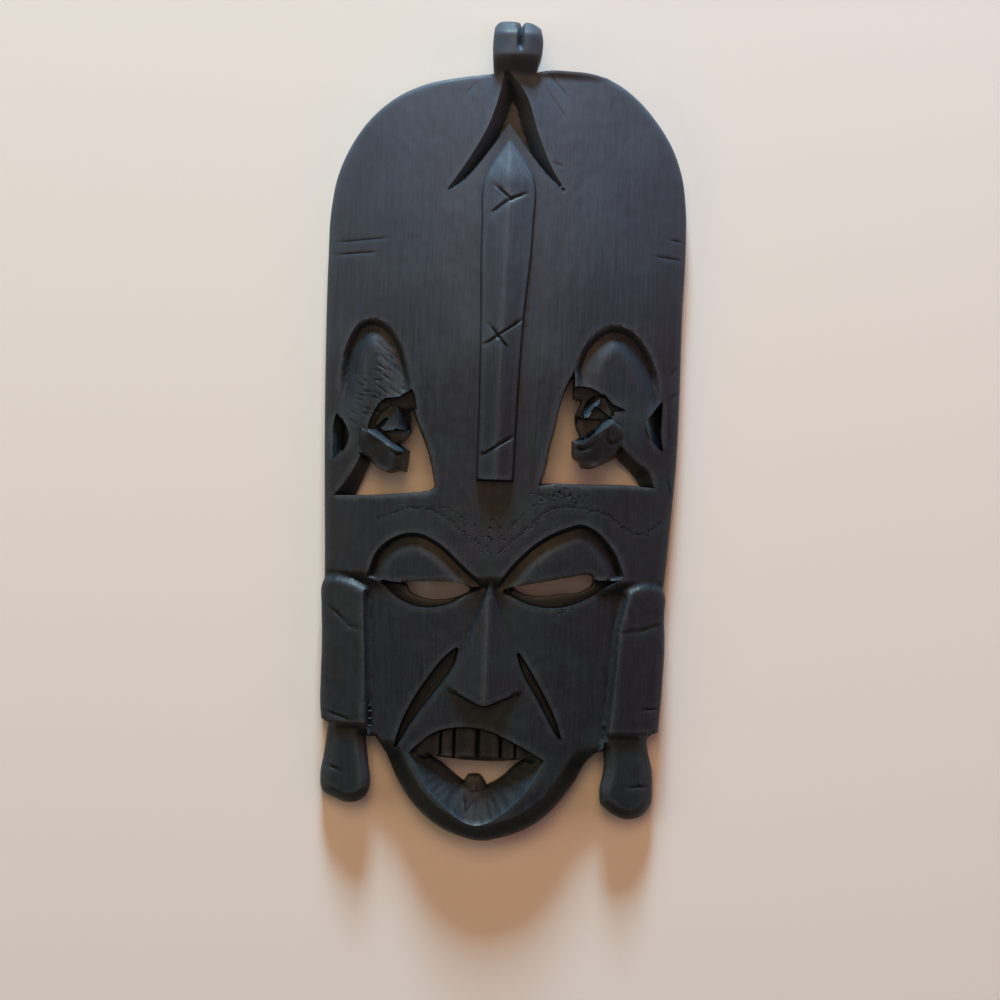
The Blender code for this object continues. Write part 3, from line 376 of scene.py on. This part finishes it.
def grain(spots, size, seed):       # smooth noise, about -1 to 1, for blobs of the given size in x and y
    sx, sy = size
    return np.array([noise.noise(Vector((x / sx, y / sy, seed))) for x, y in spots])


def furStrokes():       # short knife strokes over the left figure's head, no two alike
    strokes = []
    for row in range(20):
        y = 50 - 2.4 * row
        left, right = (-73, -54 + 0.2 * row) if row < 8 else (-86, -52)
        x = left + random.uniform(0, 4)
        while x < right - 4 and not (y < 20 and x > -74 + (y - 2) * 0.45):
            lean = random.uniform(-0.95, -0.5) if x > -72 else random.uniform(-0.5, 0)
            run = random.uniform(3, 7) / math.hypot(1, lean)
            top = y + random.uniform(-1.2, 1.2)
            if random.random() < 0.75:
                strokes.append([(x, top), (x + run * 0.5, top + lean * run * 0.4),
                                (x + run, top + lean * run)])
            x += run + random.uniform(0.3, 3)
    return strokes


def dotRow(points, pitch):      # punched dots along a line, a little uneven
    line = smoothLine(points, pitch)
    return [(x + random.uniform(-0.5, 0.5), y + random.uniform(-0.6, 0.6)) for x, y in line]


fur = furStrokes()
dots = dotRow([(-66.5, -50.4), (-46, -43.9), (-33.5, -46.2), (-26.1, -50.4), (-16.8, -57.4), (-7.6, -63.2),
               (-1.2, -69.1)], 2.3)
dots += dotRow([(1.6, -67.3), (10.3, -59.7), (17.8, -53.2), (24.9, -45.6), (33.6, -40.8), (46, -40.8),
                (55, -42.2), (64.1, -45.2), (71.7, -51.1), (82.5, -54.6), (91.2, -47.5)], 2.1)
dots += dotRow([(-30, -42.5), (-20, -48), (-10, -54), (-1.7, -60), (4, -57.5), (9.8, -51), (14.2, -46),
                (24, -38)], 2.6)
dots += [(random.gauss(35, 7), random.gauss(-35.5, 2.6)) for _ in range(34)]        # loose groups of dots
dots += [(random.gauss(-3, 5), random.gauss(-56, 5)) for _ in range(17)]
dots += [(random.gauss(41, 3), random.gauss(-98, 1.2)) for _ in range(7)]
print("strokes laid out:", len(fur), "fur strokes,", len(dots), "dots")


def boardArch(x, y):        # highest along the middle, lower towards the knob and the chin
    fall = maskCut["topFall"] * np.clip((y - 10) / 200, 0, 1) ** 2
    fall = fall + maskCut["chinFall"] * np.clip((-70 - y) / 160, 0, 1) ** 1.2
    return maskCut["edgeThickness"] + (maskCut["archRise"] - fall) * (1 - np.clip(x / 101, -1, 1) ** 2)


def planeBorder(points):        # one that lists only three points is a triangle
    return np.array([p[:2] for p in points[3:] or points], float)


def carvePlanes(spots, level, planes):
    blend = maskCut["planeSlope"]
    for points in planes:
        corner = np.array(points[:3], float)
        slope = np.linalg.solve(np.column_stack([corner[:, :2], np.ones(3)]), corner[:, 2])
        share = ramp(depthIn(spots, planeBorder(points), 3) + blend, blend)
        level = level + (spots @ slope[:2] + slope[2] - level) * share
    return level


def carveFigure(spots, level, niche, foot, planes):     # arched niche, domed head, knife cuts
    d = depthIn(spots, niche)
    head = maskCut["nicheDepth"] * (1 - 0.92 * ramp(d - 2.5, 13)) * ramp(spots[:, 1] - foot, 34)
    level = np.where(d > 0, -head * ramp(d, maskCut["nicheSlope"]), level)
    return carvePlanes(spots, level, planes)


def carveFront(spots):      # height over the floor in millimetres
    x, y = spots[:, 0], spots[:, 1]
    level = np.zeros(len(spots))
    waver = maskCut["waver"] * grain(spots, (38, 60), 1.0)
    strokes = maskCut["planing"] * grain(spots, (5.5, 70), 2.0)
    chop = maskCut["chop"] * grain(spots, (4.5, 6), 3.0)

    # forehead: upturned V with long outer flanks, knob, bar
    outer = np.minimum(gapTo(spots, smoothLine(veeLeft)), gapTo(spots, smoothLine(veeRight)))
    inner = np.minimum(*[gapTo(spots, smoothLine(side)) for side in veeInner])
    flank = np.clip(np.minimum(outer / maskCut["veeSlope"], inner / maskCut["veeWall"]), 0, 1)
    flank *= within(spots, vee)
    shoulder = np.exp(np.minimum(depthIn(spots, vee), 0) / 9) * ramp(y - 145, 50)
    level += maskCut["veeRise"] * shoulder * (1 - flank) - maskCut["veeDepth"] * flank
    knob = ramp(y - 199, 13)
    side = np.clip(np.abs(x - 1.5) / 13.8, 0, 1)
    level += (maskCut["knobRise"] + maskCut["topFall"] * 0.6) * knob
    level -= 4 * knob * side ** 3 + 5 * ramp(y - 222, 8)
    level -= notch(spots, cleft, maskCut["cleftSlope"], maskCut["cleftDepth"])
    middle = np.interp(y, [-28, 60, 115, 164], [-1.8, -1.3, -0.3, -1.0])
    half = np.interp(y, [-28, 60, 115, 143, 156, 164], [10.6, 12.2, 14.7, 13.8, 7, 0.6])
    profile = 0.55 + 0.45 * np.clip((1 - np.abs(x - middle) / half) / 0.95, 0, 1)
    barTop = maskCut["barHeight"] * profile * (1 - 0.75 * ramp(y - 138, 26))
    level += (barTop - level) * ramp(depthIn(spots, bar), maskCut["barSlope"])

    # the two side figures
    level = carveFigure(spots, level, leftNiche, 2, leftPlanes)
    level = carveFigure(spots, level, rightNiche, 10, rightPlanes)

    # cheeks, lids, eyes
    ears = [depthIn(spots, leftEar), depthIn(spots, rightEar)]
    face = ramp(-80 - y, 10) * ramp(-np.maximum(*ears), maskCut["grooveSlope"])
    level -= maskCut["cheekDepth"] * face
    for lid, brow in ((leftLid, leftBrow), (rightLid, rightBrow)):
        bulge = 0.6 * ramp(gapTo(spots, smoothLine(brow)), maskCut["lidBulge"])
        lidLevel = maskCut["browDepth"] * (bulge - 1)
        level += (lidLevel - level) * ramp(depthIn(spots, lid), maskCut["lidSlope"])
    for eye in (leftEye, rightEye):
        level += (-maskCut["eyeDepth"] - level) * ramp(depthIn(spots, eye), maskCut["eyeSlope"])

    # nose and the folds beside it
    flank = np.interp(y, [-154, -144, -125, -104, -88, -80], [25, 24, 18, 11, 6, 3])
    crest = (1 - np.clip(np.abs(x + 3) / flank, 0, 1)) ** 1.3
    tip = maskCut["noseHeight"] - maskCut["cheekDepth"]
    bridge = maskCut["cheekDepth"] + tip * np.clip((-88 - y) / 60, 0, 1)
    level += bridge * crest * ramp(depthIn(spots, nose), maskCut["noseSlope"]) * face
    for fold in (leftFold, rightFold):
        level -= maskCut["foldDepth"] * ramp(depthIn(spots, fold), maskCut["foldSlope"])

    # mouth: teeth under the upper lip, slanting bowl inside the lower one
    d = depthIn(spots, mouth)
    teeth = -maskCut["teethDepth"] + 0.5 * np.sin(x * 0.45) - maskCut["cheekDepth"] * 0.5
    for place, halfWidth in toothGaps:
        teeth -= maskCut["gapDepth"] * np.clip(1 - np.abs(x - place) / halfWidth, 0, 1)
    inward = np.clip(d, 0.01, None)
    inward = inward / (inward + gapTo(spots, mouthHole, True))      # 0 at the lip, 1 at the hole
    bowl = -maskCut["cheekDepth"] - maskCut["bowlDepth"] * (0.04 + 0.96 * inward)
    around = np.arctan2(y + 186, x + 6)
    bowl -= maskCut["chisel"] * (d > 1) * np.abs(np.sin(around * 13 + 1.3 * np.sin(around * 5)))
    level += (teeth + (bowl - teeth) * ramp(-182.5 - y, 3) - level) * ramp(d, maskCut["mouthSlope"])
    level = carvePlanes(spots, level, mouthPlanes)
    edge = depthIn(spots, outline, 12)
    jaw = ramp(-174 - y, 12) * ramp(64 - np.abs(x), 3)
    level -= maskCut["chinDrop"] * jaw * (1 - np.clip(edge / maskCut["chinSlope"], 0, 1))

    # ears and pendants
    for d in ears:
        level += maskCut["earRise"] * ramp(d, maskCut["earSlope"])
        drop = maskCut["pendantEdge"] * (1 - np.clip(edge / maskCut["pendantSlope"], 0, 1))
        level -= ramp(d, 0.5) * ramp(-166 - y, 3) * (maskCut["pendantDrop"] + drop)

    for line, halfWidth, depth in cuts:
        level -= notch(spots, line, halfWidth, depth, fade=5)
    for line in fur:
        level -= notch(spots, line, maskCut["furWidth"], maskCut["furDepth"], fade=2.5)
    for spot in dots:
        near = np.hypot(x - spot[0], y - spot[1]) / maskCut["dotSize"]
        level -= maskCut["dotDepth"] * np.clip(1 - near ** 2, 0, 1)

    hole = np.min([gapTo(spots, opening, True, 12) for opening in openings], axis=0)
    level -= maskCut["edgeRound"] * (1 - np.clip(edge / maskCut["edgeSlope"], 0, 1)) ** 1.6
    level -= 0.4 * (1 - np.clip(hole / 1.0, 0, 1)) ** 2
    level += (waver + strokes + chop) * ramp(np.minimum(edge, hole), 3)
    return boardArch(x, y) + level


def carveBack(spots):       # the hollow, with the gouge's scallops
    x, y = spots[:, 0], spots[:, 1]
    half = 101 - maskCut["rimWidth"]
    rise = boardArch(0 * x, y) - maskCut["wall"] - 3 * ramp(-150 - y, 40)
    hollow = rise * np.clip(1 - (x / half) ** 2, 0, 1)
    rowShift = 0.35 * np.sin(y / 31) + 0.2 * np.sin(y / 13 + 1)
    row = x / 11 + rowShift
    scoop = 1 - 4 * (row - np.floor(row) - 0.5) ** 2
    length = y / 46 + 0.37 * np.floor(row)
    scoop *= 0.55 + 0.45 * (1 - 4 * (length - np.floor(length) - 0.5) ** 2)
    return hollow + maskCut["gouge"] * scoop * ramp(hollow, 4)


def beside(line, inset):        # the line again, some way inside a closed one
    after, before = np.roll(line, -1, axis=0), np.roll(line, 1, axis=0)
    run = after - before
    turn = np.sum(line[:, 0] * after[:, 1] - after[:, 0] * line[:, 1])
    side = np.sign(turn) * np.stack([-run[:, 1], run[:, 0]], axis=1)
    moved = line + inset * side / np.maximum(np.hypot(*side.T), 1e-9)[:, None]
    moved[gapTo(moved, line, True) < 0.85 * abs(inset)] = np.nan
    return np.vstack([moved, moved[:1]])


def besideCut(line, offset):        # the line again, moved sideways
    line = smoothLine(line)
    run = np.gradient(line, axis=0)
    side = np.stack([-run[:, 1], run[:, 0]], axis=1)
    return line + offset * side / np.maximum(np.hypot(*side.T), 1e-9)[:, None]


def spread(step):       # staggered rows of points over the whole layout
    rows = np.arange(-229.6, 230, step * math.sqrt(0.75))
    return np.array([(x + (step / 2 if i % 2 else 0), y) for i, y in enumerate(rows)
                     for x in np.arange(-100.6, 101, step)])


def onWood(spots, loops, room):
    ok = within(spots, loops[0])
    for loop in loops[1:]:
        ok &= ~within(spots, loop)
    for loop in loops:
        ok &= gapTo(spots, loop, True, room + 1) > room
    return ok


def meshOver(loops, lines, seeds, room, merge):     # triangles between the outline and the openings
    spots = [tuple(p) for loop in loops for p in loop]
    edges, rims, start = [], [], 0
    for loop in loops:
        rims.append(list(range(start, start + len(loop))))
        edges += list(zip(rims[-1], rims[-1][1:] + rims[-1][:1]))
        start += len(loop)
    taken = {}
    for line in lines:
        ok = onWood(np.nan_to_num(line, nan=1e3), loops, room)
        last = None
        for p, usable in zip(line, ok):
            if not usable:
                last = None
                continue
            cell = (round(p[0] / merge), round(p[1] / merge))
            here = None
            for key in [(cell[0] + i, cell[1] + j) for i in (-1, 0, 1) for j in (-1, 0, 1)]:
                if key in taken and math.dist(spots[taken[key]], p) < merge:
                    here = taken[key]
            if here is None:
                here = len(spots)
                spots.append(tuple(p))
                taken.setdefault(cell, here)
            if last is not None and last != here:
                edges.append((last, here))
            last = here
    for points, gap in seeds:
        tree = KDTree(len(spots))
        for i, p in enumerate(spots):
            tree.insert((p[0], p[1], 0), i)
        tree.balance()
        points = points[onWood(points, loops, gap)]
        spots += [tuple(p) for p in points if tree.find((p[0], p[1], 0))[2] > gap]
    found, _, faces, sources, _, _ = delaunay_2d_cdt([Vector(p) for p in spots], edges, [], 0, 1e-4)
    found, faces = np.array([tuple(v) for v in found]), np.array(faces)
    faces = faces[onWood(found[faces].mean(axis=1), loops, 0)]
    place = {old: new for new, olds in enumerate(sources) for old in olds}
    return found, faces, [[place[i] for i in rim] for rim in rims]


def buildMask():
    lines = []
    steps = {
        "veeWall": [vee], "barSlope": [bar], "nicheSlope": [leftNiche, rightNiche],
        "lidSlope": [leftLid, rightLid], "eyeSlope": [leftEye, rightEye], "noseSlope": [nose],
        "foldSlope": [leftFold, rightFold], "mouthSlope": [mouth], "earSlope": [leftEar, rightEar],
    }
    for slope, areas in steps.items():      # both sides of each step in the carving
        for area in areas:
            lines += [np.vstack([area, area[:1]]), beside(area, maskCut[slope])]
    for points in leftPlanes + rightPlanes + mouthPlanes:
        border = closedLine(*[[p] for p in planeBorder(points)])
        lines += [np.vstack([border, border[:1]]), beside(border, -maskCut["planeSlope"])]
    for line, halfWidth, _ in cuts:
        lines += [smoothLine(line), besideCut(line, halfWidth), besideCut(line, -halfWidth)]
    for line in fur:
        lines += [smoothLine(line)] + [besideCut(line, side * maskCut["furWidth"]) for side in (1, -1)]
    for place, halfWidth in toothGaps:
        lines += [smoothLine([(x, -168), (x, -184)]) for x in (place - halfWidth, place, place + halfWidth)]
    lines += [smoothLine([(x, 227), (x, 207)]) for x in (0.6, 2.8, 5.0)]       # the knob's cleft
    lines += [beside(outline, 1.0), beside(outline, 2.0)] + [beside(o[:, :2], -1.2) for o in openings]
    size = maskCut["dotSize"]
    ring = [(size * math.cos(a), size * math.sin(a)) for a in np.arange(6) * math.pi / 3]
    dotPoints = np.array([(dx + x, dy + y) for x, y in dots for dx, dy in ring + [(0, 0)]])
    seeds = [(dotPoints, 0.35), (spread(maskCut["frontStep"]), 0.72 * maskCut["frontStep"])]
    frontLoops = [outline] + [o[:, :2] for o in openings]
    backLoops = [outline] + [o[:, 2:] for o in openings]
    top, topFaces, topRims = meshOver(frontLoops, lines, seeds, 0.5, 0.45)
    rimX = 101 - maskCut["rimWidth"]
    rimLines = [smoothLine([(x, -212), (x, 170)], 3) for x in (-rimX, rimX)]
    backSeeds = [(spread(maskCut["backStep"]), 0.5 * maskCut["backStep"])]
    under, underFaces, underRims = meshOver(backLoops, rimLines, backSeeds, 0.4, 0.45)
    print("surface laid out:", len(topFaces), "front and", len(underFaces), "back triangles")

    topZ, underZ = carveFront(top), carveBack(under)
    verts = [np.column_stack([top, topZ]), np.column_stack([under, underZ])]
    faces = [topFaces, underFaces[:, ::-1] + len(top)]
    count = len(top) + len(under)
    for upper, lower in zip(topRims, underRims):        # the cut sides, in four strips
        a, b = verts[0][upper], verts[1][lower]
        rows = [np.array(upper)]
        for share in (0.12, 0.45, 0.8):
            rows.append(count + np.arange(len(upper)))
            verts.append(a + (b - a) * share)
            count += len(upper)
        rows.append(np.array(lower) + len(top))
        for r, s in zip(rows[:-1], rows[1:]):
            faces.append(np.stack([r, s, np.roll(s, -1)], axis=1))
            faces.append(np.stack([r, np.roll(s, -1), np.roll(r, -1)], axis=1))
    verts, faces = np.vstack(verts), np.vstack(faces)

    low, high = outline.min(axis=0), outline.max(axis=0)
    boxLow, boxHigh = np.array(cadBox[0]), np.array(cadBox[1])
    flat = (verts[:, :2] - low) / (high - low) * (boxHigh - boxLow)[:2] + boxLow[:2]
    verts = np.column_stack([flat, np.minimum(verts[:, 2] / 1000, boxHigh[2])])
    mesh = bpy.data.meshes.new("maskCarving")
    mesh.from_pydata(verts.tolist(), [], faces.tolist())
    mesh.validate()
    piece = bpy.data.objects.new("maskCarving", mesh)
    bpy.context.scene.collection.objects.link(piece)
    bpy.context.view_layer.objects.active = piece
    piece.select_set(True)
    bpy.ops.object.mode_set(mode="EDIT")
    bpy.ops.mesh.select_all(action="SELECT")
    bpy.ops.mesh.normals_make_consistent(inside=False)
    bpy.ops.object.mode_set(mode="OBJECT")
    mesh.shade_smooth()
    mesh.set_sharp_from_angle(angle=math.radians(42))
    return piece


def addWearAndLightMasks(piece):     # raised edges get rubbed wear and a painted highlight, hollows get painted shade
    mesh = piece.data
    n = len(mesh.vertices)
    co, no = np.empty(n * 3), np.empty(n * 3)
    mesh.vertices.foreach_get("co", co)
    mesh.vertices.foreach_get("normal", no)
    ends = np.empty(len(mesh.edges) * 2, int)
    mesh.edges.foreach_get("vertices", ends)
    co, no, ends = co.reshape(-1, 3) * 1000, no.reshape(-1, 3), ends.reshape(-1, 2)
    lean = np.zeros(n)
    total = np.zeros(n)
    for one, two in ((ends[:, 0], ends[:, 1]), (ends[:, 1], ends[:, 0])):
        run = co[two] - co[one]
        size = np.maximum(np.linalg.norm(run, axis=1), 0.05)
        np.add.at(lean, one, -(run * no[one]).sum(axis=1) / size)
        np.add.at(total, one, 1)
    lean /= np.maximum(total, 1)
    for _ in range(2):      # soften
        soft = lean.copy()
        np.add.at(soft, ends[:, 0], lean[ends[:, 1]])
        np.add.at(soft, ends[:, 1], lean[ends[:, 0]])
        lean = soft / (total + 1)
    # raised edges: rubbed wear and a painted highlight; hollows: painted shade; faces turned down: the bare
    # back
    for name, values in (("wearAndHighlight", np.clip(lean * 3.2, 0, 1)), ("hollow", np.clip(-lean * 3.2, 0, 1)),
                         ("behind", np.clip(-1.6 * no[:, 2] - 0.3, 0, 1))):
        layer = mesh.attributes.new(name, "FLOAT", "POINT")
        layer.data.foreach_set("value", values.astype(np.float32))


def linear(hexColour):      # sRGB hex to the shader's linear values
    values = [int(hexColour[i:i + 2], 16) / 255 for i in (1, 3, 5)]
    return [v / 12.92 if v <= 0.04045 else ((v + 0.055) / 1.055) ** 2.4 for v in values] + [1.0]


def addNode(tree, kind, settings=None, **links):        # a node with its settings and its incoming links
    node = tree.nodes.new(kind)
    for key, value in (settings or {}).items():
        if isinstance(key, str) and hasattr(node, key):
            setattr(node, key, value)
        else:
            node.inputs[key].default_value = value
    for key, socket in links.items():       # i0, i1 and so on go to the input of that number
        tree.links.new(socket, node.inputs[int(key[1:]) if key[1:].isdigit() else key])
    return node


woodLook = {
    "stain": "#121c26", "worn": "#1e2b39", "green": "#192c31", "plum": "#1c2531",
    # the blue-grey sheen colour is painted light: the reflection of the cool light from the top
    # the near-black colour is painted shade for the concave hollows
    # the pale grey is rubbed wood and also a painted highlight on the raised edges
    "rubbedWoodAndHighlight": "#66717c", "paintedSheen": "#434f61", "hollowShade": "#07090d", "bareWood": "#3d2c20",
    # millimetres; the real grain is under half a millimetre wide, too fine for the render to show
    "grainWidth": 1.1, "grainLength": 38, "patchSize": 34, "speckSize": 1000 / 900, "bumpHeight": 0.4,
    "roughness": 0.47, "bump": 0.35, "gloss": 0.3,
}


# soft wood, stained black and waxed: nearly black, satin, with dry grey grain, rubbed edges that also carry a
# painted highlight, painted shade in the hollows and a painted sheen towards the knob
def blackenedWood():
    look = woodLook
    material = bpy.data.materials.new("black stained wood with painted sheen and shade")
    material.use_nodes = True
    tree = material.node_tree
    shader = tree.nodes["Principled BSDF"]
    place = addNode(tree, "ShaderNodeTexCoord").outputs["Object"]
    height = addNode(tree, "ShaderNodeSeparateXYZ", Vector=place).outputs[1]
    wearAndHighlight, hollow, behind = [addNode(tree, "ShaderNodeAttribute", {"attribute_name": name}).outputs["Fac"]
                              for name in ("wearAndHighlight", "hollow", "behind")]

    across, along = 1000 / look["grainWidth"], 1000 / look["grainLength"]
    stretch = addNode(tree, "ShaderNodeMapping", {"Scale": (across, along, across)}, Vector=place).outputs[0]
    streaks = addNode(tree, "ShaderNodeTexNoise", {"Scale": 1.0, "Detail": 4.0, "Roughness": 0.65},
                      Vector=stretch).outputs[0]
    patches = addNode(tree, "ShaderNodeTexNoise", {"Scale": 1000 / look["patchSize"], "Detail": 3.0},
                      Vector=place).outputs[0]
    fine = addNode(tree, "ShaderNodeTexNoise",
                   {"Scale": 1000 / look["speckSize"], "Detail": 3.0, "Roughness": 0.7},
                   Vector=place).outputs[0]

    # the painted sheen, the reflection of the light from the top, grows towards the knob and is broken up by
    # the patches and the grain
    uneven = addNode(tree, "ShaderNodeMath", {"operation": "MULTIPLY_ADD", 1: 0.12, 2: -0.06},
                     i0=patches).outputs[0]
    uneven = addNode(tree, "ShaderNodeMath", {"operation": "MULTIPLY_ADD", 1: 0.09},
                     i0=streaks, i2=uneven).outputs[0]
    sheenByHeight = addNode(tree, "ShaderNodeMath", {"operation": "ADD"}, i0=height, i1=uneven).outputs[0]
    broken = addNode(tree, "ShaderNodeMath", {"operation": "MULTIPLY_ADD", 1: 1.6, 2: -0.3},
                     i0=fine).outputs[0]
    wearAndHighlightPart = addNode(tree, "ShaderNodeMath", {"operation": "MULTIPLY", "use_clamp": True},
                         i0=wearAndHighlight, i1=broken).outputs[0]

    colour = addNode(tree, "ShaderNodeRGB").outputs[0]
    colour.default_value = linear(look["stain"])
    layers = [      # what drives it, where it starts, where it is full, how strong it gets, its colour
        (streaks, 0.40, 0.80, 1.0, "worn"),
        (patches, 0.52, 0.66, 0.7, "green"),
        (patches, 0.47, 0.34, 0.6, "plum"),
        (sheenByHeight, 0.045, 0.255, 1.0, "paintedSheen"),
        (height, 0.198, 0.208, 0.45, "stain"),          # the knob goes part way back to the plain stain, so it has less of the painted sheen
        # near-black painted shade in the concave hollows
        (hollow, 0.1, 0.8, 0.8, "hollowShade"),
        # pale grey on raised edges: rubbed wear and also a painted highlight
        (wearAndHighlightPart, 0.0, 1.0, 1.0, "rubbedWoodAndHighlight"),
        (fine, 0.66, 0.74, 0.35, "rubbedWoodAndHighlight"),         # specks where the stain has chipped
        (behind, 0.0, 1.0, 1.0, "bareWood"),
    ]
    for driver, low, high, most, name in layers:
        amount = addNode(tree, "ShaderNodeMapRange", {"From Min": low, "From Max": high, "To Max": most},
                         Value=driver).outputs[0]
        colour = addNode(tree, "ShaderNodeMix", {"data_type": "RGBA", 7: linear(look[name])},
                         i0=amount, i6=colour).outputs[2]
    tree.links.new(colour, shader.inputs["Base Color"])

    rough = addNode(tree, "ShaderNodeMapRange",
                    {"From Min": 0.3, "From Max": 0.75, "To Min": look["roughness"] - 0.07,
                     "To Max": look["roughness"] + 0.13}, Value=streaks).outputs[0]
    tree.links.new(rough, shader.inputs["Roughness"])
    surface = addNode(tree, "ShaderNodeMath", {"operation": "MULTIPLY_ADD", 1: 0.35},
                      i0=fine, i2=streaks).outputs[0]
    bump = addNode(tree, "ShaderNodeBump", {"Strength": look["bump"], "Distance": look["bumpHeight"] / 1000},
                   Height=surface).outputs[0]
    tree.links.new(bump, shader.inputs["Normal"])
    shader.inputs["IOR"].default_value = 1.5
    shader.inputs["Specular IOR Level"].default_value = look["gloss"]
    return material


carving = buildMask()
addWearAndLightMasks(carving)
carving.data.materials.append(blackenedWood())
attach(carving, "root")
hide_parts("mask")
print("mask carved:", len(carving.data.polygons), "triangles")


floorLook = {"size": 6.0, "colour": "#e7e7e7"}


def buildFloor():
    bpy.ops.mesh.primitive_plane_add(size=floorLook["size"], location=(0, 0, 0))
    floor = bpy.context.object
    floor.name = "paleFloor"
    material = bpy.data.materials.new("matt painted floor")     # flat pale paint, no gloss
    material.use_nodes = True
    shader = material.node_tree.nodes["Principled BSDF"]
    shader.inputs["Base Color"].default_value = linear(floorLook["colour"])
    shader.inputs["Roughness"].default_value = 0.9
    floor.data.materials.append(material)


studio = {
    # name: width in metres, place, and the red, green and blue power in watts
    "panels": {
        # cool and low, it throws the shadows down the floor
        "windowLight": (0.75, (-0.2, 3.4, 1.02), (148, 207, 234)),
        # these four fill the shadows with warm light
        "warmLight": (1.6, (-0.2, 1.6, 3.0), (34, 18.6, 7.7)),
        "ceilingLight": (1.6, (0, 0.1, 2.6), (10.5, 7, 5.2)),
        "leftLight": (1.6, (-2.4, 0.2, 1.6), (14.5, 10.3, 5.7)),
        "rightLight": (1.6, (2.4, 0.2, 1.6), (11.6, 4.8, 4.6)),
    },
    "roomGlow": 0.0,
    # the view is this wide at the height of the carving, and the mask leans a little in it
    "cameraHeight": 1.6, "carvingHeight": 0.025, "viewSpan": 0.561, "viewMiddle": (0.0015, -0.0376),
    "lean": 2.27,
}


def addPanel(name, width, place, power):     # a soft square light aimed at the mask
    light = bpy.data.lights.new(name, "AREA")
    light.energy, light.size, light.color = max(power), width, [p / max(power) for p in power]
    lamp = bpy.data.objects.new(name, light)
    lamp.location = place
    lamp.rotation_euler = (Vector(place) - Vector((0, 0, 0.02))).to_track_quat("Z", "Y").to_euler()
    bpy.context.scene.collection.objects.link(lamp)


def buildStudio():
    for name, (width, place, power) in studio["panels"].items():
        addPanel(name, width, place, power)
    world = bpy.data.worlds.new("softRoom")
    world.use_nodes = True
    world.node_tree.nodes["Background"].inputs["Strength"].default_value = studio["roomGlow"]
    bpy.context.scene.world = world
    bpy.context.scene.view_settings.view_transform = "Standard"
    camera = bpy.data.objects.new("camera", bpy.data.cameras.new("camera"))
    x, y = studio["viewMiddle"]
    camera.location = (x, y, studio["cameraHeight"])
    camera.rotation_euler = (0, 0, math.radians(studio["lean"]))
    camera.data.angle = 2 * math.atan(
        studio["viewSpan"] / 2 / (studio["cameraHeight"] - studio["carvingHeight"]))
    bpy.context.scene.collection.objects.link(camera)
    bpy.context.scene.camera = camera


buildFloor()
buildStudio()
print("studio set up")
